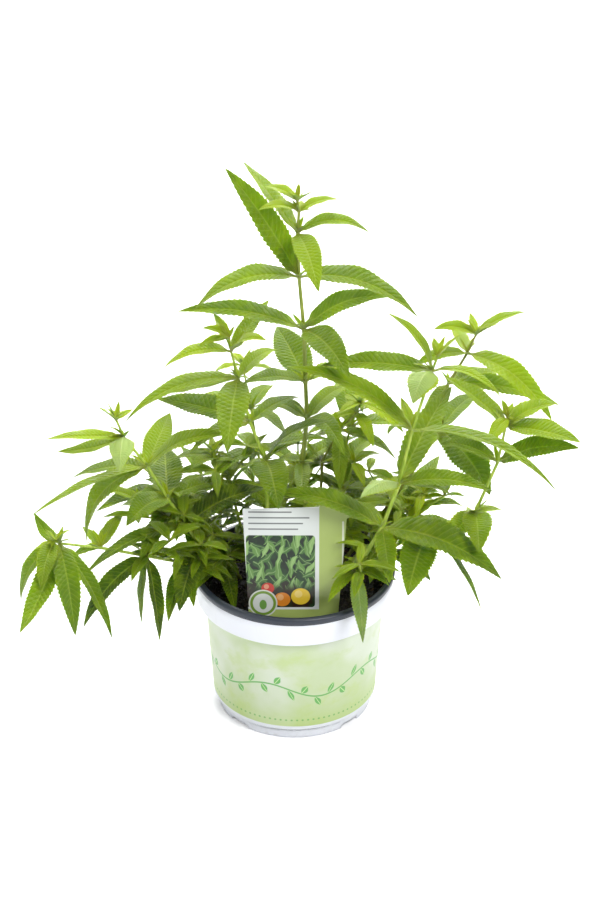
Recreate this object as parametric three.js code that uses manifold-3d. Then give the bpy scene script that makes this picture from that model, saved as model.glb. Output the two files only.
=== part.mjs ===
// Lemon verbena in its nursery pot: leafy stems in whorls of three, standing in a
// 13 cm thermoformed pot of peat with a plant label. Millimetres, +Z up, origin at
// the centre of the pot's base, on the surface it stands on. -Y is the front.
import * as THREE from 'three';
import * as BufferGeometryUtils from 'three/addons/utils/BufferGeometryUtils.js';
import Module from 'manifold-3d';

const wasm = await Module();
wasm.setup();

// ---------------------------------------------------------------- driving dimensions

const RIM_RADIUS = 65;            // outside of the rolled rim
const POT_HEIGHT = 100.5;
const RIM_HEIGHT = 4.6;           // the rolled rim, from its lower edge to its top
const RIM_WIDTH = 4;
const COLLAR_HEIGHT = 21;         // rim and plain collar together
const COLLAR_RADIUS = 63.5;       // collar at its lower edge
const BODY_TOP_RADIUS = 58;       // tapered body just below the collar
const BODY_LOW_RADIUS = 53.6;     // and just above the base ring
const BASE_RADIUS = 50.7;
const BASE_HEIGHT = 8;            // of the base ring, set in a little from the body
const WALL = 1;
const FOOT_WIDTH = 6;             // the ring under the pot that carries it
const FLOOR_BOTTOM = 3;
const POT_SIDES = 32;
const ARCH_COUNT = 4;             // arches cut through the foot ring
const ARCH_WIDTH = 15;
const ARCH_HEIGHT = 4.6;
const DRAIN_COUNT = 4;
const DRAIN_RADIUS = 3.5;
const DRAIN_CIRCLE = 26;

const SOIL_LEVEL = 86;
const SOIL_GAP = 0.5;             // between soil and pot wall
const SOIL_SIDES = 18;
const LUMP = 1.1;
const HOLE_GAP = 0.5;             // between a stem and its hole
const STEM_DEPTH = 24;            // of each stem under the soil
const STEM_SIDES = 4;             // the stems are angular
const STEM_TAPER = 0.6;           // share of the radius lost from foot to tip

const LABEL_THICK = 0.8;
const LABEL_FOOT = [-0.5, -43, 100];
const LABEL_LEAN = 12;            // degrees, leaning back into the foliage
const LABEL_SHOULDER = -12;       // lower edge of the card, from the label's own origin
const LABEL_CARD_TOP = 62.5;
const LABEL_STRIP_TOP = 68;
const LABEL_POINT = -38;
const LABEL_STAKE_WIDTH = 16;
const LABEL_GAP = 0.4;

const BLADE_THICK = 0.7;
const BLADE_TILT = 18;            // degrees, blades of the front stems face the light in front
const BLADE_CUP = 0.2;            // rise of the margins, as a share of the half width
const PETIOLE = 0.55;             // half width at the root
const TOOTH_LENGTHS = [50, 88];   // leaves this long have a second and a third tooth a side
const LEAF_GAP = 0.4;             // clearance kept between neighbouring leaves
const BEND_STEP = 4;              // degrees, a leaf in the way turns aside by this much
const BEND_STEPS = 7;
const ROOT_SHARE = 0.25;          // part of a leaf that may touch its own stem and whorl

// ---------------------------------------------------------------- stems and leaves
// points: the stem's nodes, from the soil to the tip. whorls: for a node, its leaves,
// each [azimuth, rise, droop, length, width, roll]: azimuth 0 is +X and 90 is the back, rise
// is the angle it leaves at, droop the angle it falls by its tip, roll the angle the blade is
// turned by about its midrib. Roll, or width and roll, may be left out.

const STEMS = [
  {
    node: 'stem_main', radius: 1.9,
    points: [[9, 5, 86], [7, 6, 145], [5, 7, 172], [8, 8, 202], [7, 8, 228],
      [6, 8, 264], [3, 8, 299], [2, 7, 328], [3, 6, 342], [2, 6, 349]],
    whorls: {
      2: [[125, -10, 40, 50], [270, 15, 40, 44]],
      3: [[55, 30, 50, 50], [300, 35, 80, 60], [130, 15, 50, 50]],
      4: [[110, 25, 20, 56, 24], [220, 35, 35, 54, 14], [55, 25, 50, 44]],
      5: [[180, 28, 38, 82, 16], [10, 48, 60, 66, 16, 15], [300, 15, 50, 60, 21, 10]],
      6: [[190, 17, 62, 76, 18], [348, 15, 60, 87, 20], [192, 65, 12, 86, 19, -60]],
      7: [[0, 38, 75, 54, 12], [285, 5, 50, 56, 17], [125, 30, 10, 64, 15, 20]],
      8: [[200, 40, 60, 30], [20, 35, 50, 28], [75, 25, 20, 14]],
      9: [[305, 40, 10, 18], [140, 30, 50, 28], [115, 5, 10, 10]],
    },
  },
  {
    node: 'stem_inner_left', radius: 1.5,
    points: [[-13, -2, 86], [-17, -4, 143], [-18, -5, 180], [-27, -6, 207],
      [-34, -8, 239], [-38, -8, 257], [-39, -8, 266]],
    whorls: {
      2: [[280, 20, 55, 56, 23], [345, 60, 50, 62], [140, -25, 40, 42]],
      3: [[50, 20, 45, 48], [155, 12, 20, 66, 20], [220, 20, 50, 52]],
      4: [[195, 13, 58, 84, 14], [265, 0, 35, 66, 21], [150, -22, 5, 62], [55, 30, 50, 44]],
      5: [[190, 20, 60, 48], [320, 60, 60, 38], [70, 20, 15, 22], [60, 25, 10, 48]],
      6: [[120, 28, 10, 22], [175, 50, 60, 20], [190, 10, 40, 20]],
    },
  },
  {
    node: 'stem_left_front', radius: 1.7,
    points: [[-35, 6, 86], [-46, 3, 101], [-60, -3, 117], [-68, -9, 135],
      [-79, -15, 158], [-90, -22, 185], [-103, -30, 210], [-107, -32, 223]],
    whorls: {
      1: [[290, 0, 50, 48], [240, 15, 40, 40]],
      2: [[255, 0, 50, 56, 20], [230, 35, 40, 20], [75, 25, 40, 30]],
      3: [[15, 43, 45, 60, 22], [200, 5, 50, 80, 12], [50, -10, 50, 48]],
      4: [[235, 28, 55, 46, 20], [95, 15, 20, 58, 24], [145, 0, 45, 40], [40, 10, 35, 48]],
      5: [[215, 10, 30, 84, 11, 15], [214, 6, 90, 84, 18], [75, 25, 15, 48, 18], [345, 55, 50, 66],
        [150, -10, 25, 64]],
      6: [[270, 30, 70, 46, 17], [210, 21, 14, 52, 10, -10], [160, -32, -20, 50]],
      7: [[230, 50, 10, 20], [105, 0, 10, 16], [50, 0, 20, 16]],
    },
  },
  {
    node: 'stem_left_low', radius: 1.6,
    points: [[-41, -8, 86], [-51, -9, 99], [-69, -12, 109], [-93, -18, 118],
      [-121, -26, 129], [-146, -32, 136], [-149, -33, 138]],
    whorls: {
      2: [[250, -10, 60, 46], [285, 20, 60, 40]],
      3: [[285, -25, 60, 62, 15, -45], [260, -35, 55, 48, 10, 45], [250, 15, 50, 28], [225, 0, 55, 68, 15]],
      4: [[70, 30, 40, 36], [175, 0, 50, 24], [125, 20, 20, 24], [80, 10, 30, 40]],
      5: [[285, -10, 60, 70], [258, -30, -30, 74, 17], [130, -10, -60, 34], [325, -36, 40, 72, 14, -20]],
      6: [[220, 5, 10, 14], [210, -25, 60, 50], [65, 10, 10, 12], [255, 0, 60, 40, 13]],
    },
  },
  {
    node: 'stem_right_front', radius: 1.8,
    points: [[41, -32, 86], [38, -38, 120], [54, -40, 152], [64, -38, 182],
      [71, -36, 218], [82, -34, 257], [85, -34, 267]],
    whorls: {
      1: [[275, 0, 55, 58, 11], [245, 0, 40, 34], [310, 30, 45, 34], [20, 5, 20, 20]],
      2: [[340, 10, 50, 88, 26], [175, 40, 45, 78, 16, -8], [115, 10, 30, 44], [285, -5, 40, 40, 14]],
      3: [[230, 38, 55, 44, 16], [355, 20, 45, 62], [10, 5, 50, 40], [60, 40, 25, 80, 20]],
      4: [[170, 50, 50, 94, 15, -15], [340, 15, 60, 108, 14, -20], [105, 35, 20, 26], [120, 0, 60, 36]],
      5: [[165, 8, 25, 70, 17], [245, 25, 80, 40, 20], [150, 75, 60, 50, 10, 12], [335, 25, 70, 54, 9, -16]],
      6: [[345, 55, 10, 20], [70, 15, 10, 10], [115, 15, 10, 14]],
    },
  },
  {
    node: 'stem_right_front', radius: 1.4, branch: true,
    points: [[54, -40, 152], [83, -36, 148], [112, -28, 156], [125, -22, 188],
      [129, -20, 212], [130, -20, 218]],
    whorls: {
      1: [[250, -5, 50, 52, 24], [315, -20, 40, 62, 10, -40]],
      2: [[35, 0, 30, 24], [270, 20, 60, 44, 20], [245, 45, 30, 20], [245, 15, 45, 34, 16]],
      3: [[330, 45, 40, 62, 16, 30], [145, 25, 50, 46]],
      4: [[5, 50, 50, 38, 15], [338, 4, 22, 52, 19], [140, 34, 25, 52, 19, 25]],
      5: [[70, 30, 10, 12], [130, 65, 10, 12], [235, 0, 40, 26, 10]],
    },
  },
  {
    node: 'stem_right_back', radius: 1.6,
    points: [[31, 25, 86], [61, 26, 129], [93, 28, 184], [97, 30, 216],
      [108, 30, 237], [113, 30, 250]],
    whorls: {
      1: [[300, 0, 50, 50], [60, 10, 40, 50], [170, 20, 50, 50]],
      2: [[305, -5, 40, 60, 28], [240, 10, 30, 60], [60, 20, 40, 60]],
      3: [[350, 10, 35, 74, 16], [245, -5, 40, 50], [40, 5, 30, 50]],
      4: [[320, 8, 58, 80, 18], [100, 15, 30, 40], [200, 20, 50, 40]],
      5: [[175, 35, 60, 31, 10], [5, 45, 40, 36], [105, 40, 20, 18], [355, 40, 50, 18]],
    },
  },
  {
    node: 'stem_back_thin', radius: 1.2,
    points: [[15, 30, 86], [18, 34, 158], [29, 36, 179], [40, 38, 191], [42, 38, 198]],
    whorls: {
      2: [[15, -15, 40, 50], [145, -20, 40, 44], [270, -20, 50, 44]],
      3: [[165, -10, 40, 30], [290, 5, 50, 34]],
      4: [[320, 10, 50, 40], [235, 20, 30, 26], [115, -5, 20, 24], [65, 0, 20, 24]],
    },
  },
  {
    node: 'stem_left_small', radius: 1.2,
    points: [[-29, 24, 86], [-42, 22, 150], [-51, 22, 166], [-52, 22, 171]],
    whorls: {
      1: [[200, 10, 40, 46], [320, 10, 40, 46], [90, 10, 40, 50]],
      2: [[245, 35, 40, 36], [45, -15, 40, 40], [140, 0, 40, 40]],
      3: [[230, 60, 20, 18], [65, 10, 20, 18], [95, 25, 10, 14]],
    },
  },
];

// Shoots that fill the back and the middle of the bush, laid out by one rule: the foot
// in the soil, the azimuth it leans to, how far it reaches out, its height and its seed.
const FILLERS = [
  { node: 'stem_back_left', foot: [-17, 36], lean: 125, reach: 28, height: 128, seed: 3 },
  { node: 'stem_back_right', foot: [25, 38], lean: 55, reach: 28, height: 110, seed: 8 },
  { node: 'stem_back_middle', foot: [3, 38], lean: 95, reach: 9, height: 78, seed: 14 },
  { node: 'stem_left_back', foot: [-43, 20], lean: 170, reach: 56, height: 70, seed: 21 },
  { node: 'stem_left_side', foot: [-43, 6], lean: 180, reach: 56, height: 58, seed: 5 },
  { node: 'stem_right_side', foot: [51, 8], lean: 20, reach: 34, height: 56, seed: 34 },
  { node: 'stem_inner_right', foot: [21, 10], lean: 40, reach: 22, height: 76, seed: 55 },
];
const FILLER_NODES = 4;
const FILLER_LEAF = [34, 60];     // shortest and longest leaf
const FILLER_WIDTH = 0.3;         // of a leaf, as a share of its length

// ---------------------------------------------------------------- solids

function radians(degrees) {
  return (degrees * Math.PI) / 180;
}

function vector(point) {
  return new THREE.Vector3(...point);
}

function solidOf(geometry) {
  const bare = new THREE.BufferGeometry();
  bare.setAttribute('position', geometry.getAttribute('position').clone());
  if (geometry.index) bare.setIndex(geometry.index.clone());
  const merged = BufferGeometryUtils.mergeVertices(bare, 1e-4);
  return new wasm.Manifold(new wasm.Mesh({
    numProp: 3,
    vertProperties: new Float32Array(merged.getAttribute('position').array),
    triVerts: new Uint32Array(merged.index.array),
  }));
}

function geometryOf(solid) {
  const mesh = solid.getMesh();
  const geometry = new THREE.BufferGeometry();
  geometry.setAttribute('position', new THREE.BufferAttribute(mesh.vertProperties, 3));
  geometry.setIndex(new THREE.BufferAttribute(mesh.triVerts, 1));
  return geometry;
}

function revolve(profile, sides) {
  const points = profile.map(([r, z]) => new THREE.Vector2(r, z));
  const geometry = new THREE.LatheGeometry(points, sides);
  geometry.rotateX(Math.PI / 2);
  return geometry;
}

function upright(shape, depth) {
  const geometry = new THREE.ExtrudeGeometry(shape, { depth, bevelEnabled: false, curveSegments: 4 });
  geometry.rotateX(Math.PI / 2);
  geometry.translate(0, depth / 2, 0);
  return geometry;
}

function bodyRadius(z) {
  const height = POT_HEIGHT - COLLAR_HEIGHT - BASE_HEIGHT;
  return BODY_LOW_RADIUS + ((BODY_TOP_RADIUS - BODY_LOW_RADIUS) * (z - BASE_HEIGHT)) / height;
}

// ---------------------------------------------------------------- pot

function potSolid() {
  const step = POT_HEIGHT - COLLAR_HEIGHT;
  const rimLow = POT_HEIGHT - RIM_HEIGHT;
  const rimInside = RIM_RADIUS - RIM_WIDTH;
  const profile = [
    [0, FLOOR_BOTTOM],
    [BASE_RADIUS - FOOT_WIDTH, FLOOR_BOTTOM],
    [BASE_RADIUS - FOOT_WIDTH, 0],
    [BASE_RADIUS, 0],
    [BASE_RADIUS + 0.8, BASE_HEIGHT - 0.5],
    [BODY_LOW_RADIUS, BASE_HEIGHT + 0.5],
    [BODY_TOP_RADIUS, step],
    [COLLAR_RADIUS, step + 0.8],
    [RIM_RADIUS - 0.9, rimLow],
    [RIM_RADIUS, rimLow + 1],
    [RIM_RADIUS, POT_HEIGHT - 1],
    [RIM_RADIUS - 1, POT_HEIGHT],
    [rimInside, POT_HEIGHT],
    [COLLAR_RADIUS - 2.2, step + 1.6],
    [BODY_TOP_RADIUS - WALL, step - 1],
    [BODY_LOW_RADIUS - WALL, BASE_HEIGHT + 1],
    [BASE_RADIUS - 2, FLOOR_BOTTOM + 1.4],
    [0, FLOOR_BOTTOM + 1.4],
  ];
  let pot = solidOf(revolve(profile, POT_SIDES));
  const arch = new THREE.Shape();
  arch.moveTo(-ARCH_WIDTH / 2, -1);
  arch.lineTo(ARCH_WIDTH / 2, -1);
  arch.lineTo(ARCH_WIDTH / 2 - 3, ARCH_HEIGHT);
  arch.lineTo(3 - ARCH_WIDTH / 2, ARCH_HEIGHT);
  const archCut = upright(arch, 12);
  archCut.translate(0, -BASE_RADIUS, 0);
  for (let i = 0; i < ARCH_COUNT; i += 1) {
    const turned = archCut.clone().rotateZ(((i + 0.5) * 2 * Math.PI) / ARCH_COUNT);
    pot = pot.subtract(solidOf(turned));
  }
  const drill = new THREE.CylinderGeometry(DRAIN_RADIUS, DRAIN_RADIUS, 6, 6);
  drill.rotateX(Math.PI / 2);
  for (let i = 0; i < DRAIN_COUNT; i += 1) {
    const angle = (i * 2 * Math.PI) / DRAIN_COUNT;
    const at = [DRAIN_CIRCLE * Math.cos(angle), DRAIN_CIRCLE * Math.sin(angle), FLOOR_BOTTOM + 0.7];
    pot = pot.subtract(solidOf(drill.clone().translate(...at)));
  }
  return pot;
}

// ---------------------------------------------------------------- label

function labelParts() {
  const low = 30;
  const high = 33;
  const half = LABEL_STAKE_WIDTH / 2;
  const card = new THREE.Shape();
  card.moveTo(0, LABEL_POINT);
  card.lineTo(half, LABEL_POINT + 9);
  card.lineTo(half, LABEL_SHOULDER);
  card.lineTo(low, LABEL_SHOULDER + 2);
  card.lineTo(high, LABEL_STRIP_TOP - 13);
  card.lineTo(high + 6, LABEL_STRIP_TOP - 12);
  card.lineTo(high + 6, LABEL_STRIP_TOP - 2);
  card.lineTo(high + 4, LABEL_STRIP_TOP);
  card.lineTo(16, LABEL_STRIP_TOP);
  card.lineTo(16, LABEL_CARD_TOP);
  card.lineTo(2 - high, LABEL_CARD_TOP);
  card.lineTo(-high, LABEL_CARD_TOP - 2);
  card.lineTo(-low, LABEL_SHOULDER + 2);
  card.lineTo(-half, LABEL_SHOULDER);
  card.lineTo(-half, LABEL_POINT + 9);
  const slot = new THREE.Shape();
  slot.moveTo(-half - LABEL_GAP, LABEL_POINT - LABEL_GAP);
  slot.lineTo(half + LABEL_GAP, LABEL_POINT - LABEL_GAP);
  slot.lineTo(half + LABEL_GAP, LABEL_SHOULDER + 8);
  slot.lineTo(-half - LABEL_GAP, LABEL_SHOULDER + 8);
  const place = (geometry) => geometry
    .rotateX(radians(-LABEL_LEAN))
    .translate(...LABEL_FOOT);
  return {
    label: solidOf(place(upright(card, LABEL_THICK))),
    slot: solidOf(place(upright(slot, LABEL_THICK + 2 * LABEL_GAP))),
  };
}

// ---------------------------------------------------------------- stems

// A tapered tube through the stem's nodes; foot adds the straight part under the soil.
function stemSolid(stem, grow) {
  const points = stem.points.map(vector);
  if (!stem.branch) {
    const [x, y, z] = stem.points[0];
    points.unshift(new THREE.Vector3(x, y, z - STEM_DEPTH - grow));
  }
  const path = new THREE.CatmullRomCurve3(points, false, 'centripetal');
  const steps = points.length - 1;
  const rings = path.getPoints(steps);
  path.getSpacedPoints = () => rings;
  const corners = [];
  for (let i = 0; i < STEM_SIDES; i += 1) {
    const angle = (i * 2 * Math.PI) / STEM_SIDES;
    const radius = stem.radius + grow;
    corners.push(new THREE.Vector2(radius * Math.cos(angle), radius * Math.sin(angle)));
  }
  const geometry = new THREE.ExtrudeGeometry(new THREE.Shape(corners), {
    steps, extrudePath: path, bevelEnabled: false, curveSegments: 1,
  });
  const position = geometry.getAttribute('position');
  const corner = new THREE.Vector3();
  for (let i = 0; i < position.count; i += 1) {
    corner.fromBufferAttribute(position, i);
    let nearest = 0;
    for (let k = 1; k < rings.length; k += 1) {
      if (corner.distanceTo(rings[k]) < corner.distanceTo(rings[nearest])) nearest = k;
    }
    corner.lerp(rings[nearest], grow ? 0 : (STEM_TAPER * nearest) / steps);
    position.setXYZ(i, corner.x, corner.y, corner.z);
  }
  return solidOf(geometry);
}

// ---------------------------------------------------------------- leaves

function direction(azimuth, rise) {
  const a = radians(azimuth);
  const e = radians(rise);
  return new THREE.Vector3(Math.cos(a) * Math.cos(e), Math.sin(a) * Math.cos(e), Math.sin(e));
}

// The leaf's midrib is a quadratic curve: half its length at the rise it leaves with,
// half at the angle that it has drooped to.
function leafFrame(root, [azimuth, rise, droop, length, , roll = 0], tilt) {
  const elbow = root.clone().addScaledVector(direction(azimuth, rise), length / 2);
  const tip = elbow.clone().addScaledVector(direction(azimuth, rise - droop), length / 2);
  const across = new THREE.Vector3(Math.sin(radians(azimuth)), -Math.cos(radians(azimuth)), 0);
  across.z = across.y * Math.tan(radians(tilt));
  across.normalize().applyAxisAngle(direction(azimuth, rise - droop / 2), radians(roll));
  return { rib: new THREE.QuadraticBezierCurve3(root, elbow, tip), across };
}

function bladeShare(u) {
  return Math.sin(Math.PI * u ** 0.8) ** 0.85;
}

function leafWidth(leaf) {
  return leaf[4] ?? 0.2 * leaf[3] + 2.5;
}

// Outline of one half of the blade, as [place along the rib, half width]: each tooth is
// a point on the full width with a notch just past it.
function marginOf(leaf, from, teeth) {
  const half = leafWidth(leaf) / 2;
  const wide = (u) => Math.max(PETIOLE, half * bladeShare(u));
  if (teeth === 0) return [from, 0.3, 0.55, 0.8, 0.97].map((u) => [u, wide(u) + LEAF_GAP]);
  const margin = [[from, wide(from)]];
  for (let i = 0; i < teeth; i += 1) {
    const u = 0.2 + (0.62 * (i + 0.4)) / teeth;
    margin.push([u, wide(u)]);
    margin.push([u + 0.04, 0.8 * wide(u + 0.04)]);
  }
  return margin;
}

// A closed blade: an upper and a lower face split alike, and a wall round the margin.
function bladeSolid(root, leaf, tilt, { from = 0, grow = 0, teeth = 0 } = {}) {
  const { rib, across } = leafFrame(root, leaf, tilt);
  const thick = BLADE_THICK / 2 + grow;
  const ribCount = leaf[3] >= 56 ? 2 : 1;
  const stations = [];
  const add = (u, side, half) => {
    const along = rib.getTangent(u);
    const up = across.clone().cross(along).normalize();
    const at = rib.getPoint(u).addScaledVector(across, side * half).addScaledVector(up, BLADE_CUP * half);
    stations.push({ u, at, up });
    return stations.length - 1;
  };
  const margin = marginOf(leaf, from, teeth);
  const right = margin.map(([u, half]) => add(u, 1, half));
  const left = margin.map(([u, half]) => add(u, -1, half));
  const apex = add(1, 0, 0);
  const middle = [];
  for (let i = 1; i <= ribCount; i += 1) {
    middle.push(add(from + ((1 - from) * i) / (ribCount + 1), 0, 0));
  }
  const faces = [[left[0], right[0], middle[0]]];
  for (const [side, edge] of [[1, [...right, apex]], [-1, [...left, apex]]]) {
    let i = 0;
    let j = 0;
    while (i < edge.length - 1) {
      const ribNext = j < middle.length - 1 && stations[middle[j + 1]].u < stations[edge[i + 1]].u;
      const next = ribNext ? middle[j + 1] : edge[i + 1];
      faces.push(side > 0 ? [middle[j], edge[i], next] : [middle[j], next, edge[i]]);
      if (ribNext) j += 1;
      else i += 1;
    }
  }
  const loop = [...right, apex, ...[...left].reverse()];
  const count = stations.length;
  const index = [];
  for (const [a, b, c] of faces) index.push(a, b, c, a + count, c + count, b + count);
  loop.forEach((a, i) => {
    const b = loop[(i + 1) % loop.length];
    index.push(a, a + count, b + count, a, b + count, b);
  });
  const corners = [];
  for (const side of [1, -1]) {
    for (const { at, up } of stations) corners.push(...at.clone().addScaledVector(up, side * thick));
  }
  const geometry = new THREE.BufferGeometry();
  geometry.setAttribute('position', new THREE.Float32BufferAttribute(corners, 3));
  geometry.setIndex(index);
  return solidOf(geometry);
}

// ---------------------------------------------------------------- filler stems

function seededDraw(seed) {
  let state = seed;
  return (low, high) => {
    state = (Math.imul(state, 1664525) + 1013904223) >>> 0;
    return Math.round(low + ((high - low) * state) / 2 ** 32);
  };
}

function fillerStem({ node, foot, lean, reach, height, seed }) {
  const draw = seededDraw(seed);
  const points = [[foot[0], foot[1], SOIL_LEVEL]];
  const whorls = {};
  for (let i = 1; i <= FILLER_NODES; i += 1) {
    const t = i / FILLER_NODES;
    const out = reach * t ** 1.3;
    const x = foot[0] + out * Math.cos(radians(lean));
    const y = foot[1] + out * Math.sin(radians(lean));
    points.push([x, y, SOIL_LEVEL + height * t ** 0.85]);
    const swing = draw(-20, 20);
    whorls[i] = [];
    for (let k = 0; k < 3; k += 1) {
      const azimuth = lean + 60 * i + 120 * k + swing;
      const length = draw(...FILLER_LEAF) * (i === FILLER_NODES ? 0.55 : 1);
      whorls[i].push([azimuth, draw(0, 40), draw(30, 60), length, FILLER_WIDTH * length]);
    }
  }
  return { node, filler: true, radius: 1.3, points, whorls };
}

// ---------------------------------------------------------------- bush

// Turning a leaf aside: every pair of whole steps in azimuth and rise, nearest first.
function bends() {
  const pairs = [];
  for (let ring = 0; ring <= BEND_STEPS; ring += 1) {
    for (let i = -ring; i <= ring; i += 1) {
      for (let j = -ring; j <= ring; j += 1) {
        if (Math.max(Math.abs(i), Math.abs(j)) === ring) pairs.push([i * BEND_STEP, j * BEND_STEP]);
      }
    }
  }
  return pairs;
}

function boxesMeet(a, b) {
  return [0, 1, 2].every((k) => a.min[k] <= b.max[k] && b.min[k] <= a.max[k]);
}

function isClear(solid, others) {
  const box = solid.boundingBox();
  return others.every((other) => !boxesMeet(box, other.box) || solid.intersect(other.solid).isEmpty());
}

// Sets each leaf where it is clear of all that stands already, and joins it to its stem.
function growBush(stems, standing) {
  const nodes = new Map();
  for (const stem of stems) {
    const solid = stemSolid(stem, 0);
    standing.push({ node: stem.node, solid, box: solid.boundingBox() });
    nodes.set(stem.node, [...(nodes.get(stem.node) ?? []), solid]);
  }
  const turns = bends();
  for (const stem of stems) {
    const tilt = stem.filler ? 0 : BLADE_TILT;
    for (const [place, leaves] of Object.entries(stem.whorls)) {
      const root = vector(stem.points[place]);
      for (const leaf of leaves) {
        const kin = standing.filter((other) => other.node === stem.node);
        const rest = standing.filter((other) => other.node !== stem.node);
        const turn = turns.find(([azimuth, rise]) => {
          const bent = [leaf[0] + azimuth, leaf[1] + rise, ...leaf.slice(2)];
          return isClear(bladeSolid(root, bent, tilt, { from: 0.02, grow: LEAF_GAP }), rest)
            && isClear(bladeSolid(root, bent, tilt, { from: ROOT_SHARE, grow: LEAF_GAP }), kin);
        });
        if (!turn) continue;
        const bent = [leaf[0] + turn[0], leaf[1] + turn[1], ...leaf.slice(2)];
        const longer = TOOTH_LENGTHS.filter((size) => leaf[3] >= size).length;
        const solid = bladeSolid(root, bent, tilt, { teeth: stem.filler ? 1 : 1 + longer });
        standing.push({ node: stem.node, solid, box: solid.boundingBox() });
        nodes.get(stem.node).push(solid);
      }
    }
  }
  return nodes;
}

// ---------------------------------------------------------------- soil

function soilSolid(stems, slot) {
  const floor = FLOOR_BOTTOM + 1.4 + SOIL_GAP;
  const step = POT_HEIGHT - COLLAR_HEIGHT;
  const geometry = revolve([
    [0, floor],
    [BASE_RADIUS - 2.5 - SOIL_GAP, floor],
    [BODY_LOW_RADIUS - WALL - SOIL_GAP, BASE_HEIGHT + 3],
    [BODY_TOP_RADIUS - WALL - SOIL_GAP, step - 1],
    [COLLAR_RADIUS - 2.4 - SOIL_GAP, step + 2.4],
    [COLLAR_RADIUS - 2.8 - SOIL_GAP, SOIL_LEVEL - 1],
    [46, SOIL_LEVEL],
    [24, SOIL_LEVEL + 1],
    [0, SOIL_LEVEL + 1],
  ], SOIL_SIDES);
  const position = geometry.getAttribute('position');
  for (let i = 0; i < position.count; i += 1) {
    const x = position.getX(i);
    const y = position.getY(i);
    const z = position.getZ(i);
    const lump = Math.sin(0.31 * x + 1.3) * Math.cos(0.27 * y) + Math.sin(0.5 * x - 0.4 * y);
    if (z > SOIL_LEVEL - 2) position.setZ(i, z + LUMP * lump);
  }
  let soil = solidOf(geometry).subtract(slot);
  for (const stem of stems.filter((one) => !one.branch)) soil = soil.subtract(stemSolid(stem, HOLE_GAP));
  return soil;
}

// ---------------------------------------------------------------- the plant in its pot

function meshOf(name, solid, color, roughness) {
  const material = new THREE.MeshStandardMaterial({ color, roughness, metalness: 0 });
  const mesh = new THREE.Mesh(geometryOf(solid), material);
  mesh.name = name;
  return mesh;
}

const plant = new THREE.Group();
const stems = [...STEMS, ...FILLERS.map(fillerStem)];
const pot = potSolid();
const { label, slot } = labelParts();
const soil = soilSolid(stems, slot);
const standing = [pot, label, soil].map((solid) => ({ node: '', solid, box: solid.boundingBox() }));
const bush = growBush(stems, standing);

plant.add(meshOf('pot', pot, 0xe6e8ee, 0.35));
plant.add(meshOf('soil', soil, 0x241c17, 0.95));
plant.add(meshOf('plant_label', label, 0xe8ebe6, 0.3));
for (const [name, solids] of bush) {
  const joined = solids.reduce((all, one) => all.add(one));
  plant.add(meshOf(name, joined, 0x7ea63c, 0.55));
}

export default plant;
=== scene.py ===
import math
from functools import partialmethod

import bmesh
import bpy
from mathutils import Matrix, Vector, noise
from mathutils.kdtree import KDTree


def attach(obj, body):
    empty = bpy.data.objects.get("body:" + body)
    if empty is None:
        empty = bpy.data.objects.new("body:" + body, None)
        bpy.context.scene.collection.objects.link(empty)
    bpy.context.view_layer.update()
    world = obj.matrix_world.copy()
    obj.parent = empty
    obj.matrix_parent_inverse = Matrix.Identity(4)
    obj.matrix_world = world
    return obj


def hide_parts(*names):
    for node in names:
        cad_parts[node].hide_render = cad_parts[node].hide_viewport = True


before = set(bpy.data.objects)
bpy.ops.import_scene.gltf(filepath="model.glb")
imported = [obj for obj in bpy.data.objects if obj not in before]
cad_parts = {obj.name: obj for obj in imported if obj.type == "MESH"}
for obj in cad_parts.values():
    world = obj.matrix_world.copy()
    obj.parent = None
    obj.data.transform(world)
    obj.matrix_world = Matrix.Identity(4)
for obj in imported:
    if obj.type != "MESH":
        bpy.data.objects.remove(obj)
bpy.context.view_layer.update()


# ---------------------------------------------------------------- studio
# A wide matt white table under soft boxes: one overhead, the key in front on the right, a weaker
# fill on the left and a broad one behind, in a pale room. The camera looks down 29 degrees.
CAMERA_AIM = Vector((0.0036, 0, 0.18465))
CAMERA_DISTANCE = 1.3
CAMERA_ELEVATION = math.radians(28.95)
CAMERA_LENS = 83.28
TABLE_SIZE = 14
# The camera sees the table glow a little, and more with distance, so that it is white to its end.
TABLE_GLOW = 0.3
TABLE_GLOW_FAR = 0.72
TABLE_FAR = (0.5, 4)
ROOM_LIGHT = 0.17
ROOM_SEEN = 0.9
SOFT_BOXES = {
    "key_light": {"place": (1.0, -1.5, 1.9), "size": 1.2, "watts": 47},
    "fill_light": {"place": (-1.6, -1.1, 1.1), "size": 1.6, "watts": 12},
    "top_light": {"place": (-0.1, 0.5, 1.9), "size": 1.1, "watts": 34},
    "back_light": {"place": (0.2, 1.7, 1.3), "size": 1.6, "watts": 56},
}


def plug(tree, socket, value):
    """Links a field or a socket to the socket, or sets the socket to a plain value."""
    if isinstance(value, Field):
        value = value.socket
    if isinstance(value, bpy.types.NodeSocket):
        tree.links.new(value, socket)
    else:
        socket.default_value = value


def set_inputs(tree, node, plugs):
    """Links or sets the node's sockets, which are given by name or index."""
    for name, value in plugs.items():
        plug(tree, node.inputs[name], value)


def add_node(tree, kind, plugs=None, **settings):
    """A node of that kind with its settings, and what goes into its sockets."""
    made = tree.nodes.new(kind)
    for name, value in settings.items():
        setattr(made, name, value)
    set_inputs(tree, made, plugs or {})
    return made


def live_node(tree, kind, values, plugs=None, **settings):
    """The result of a node with the values, in order, in the sockets that its settings leave in use."""
    made = add_node(tree, kind, plugs, **settings)
    for socket, value in zip([s for s in made.inputs if s.enabled], values):
        plug(tree, socket, value)
    return Field(tree, next(s for s in made.outputs if s.enabled))


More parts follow.
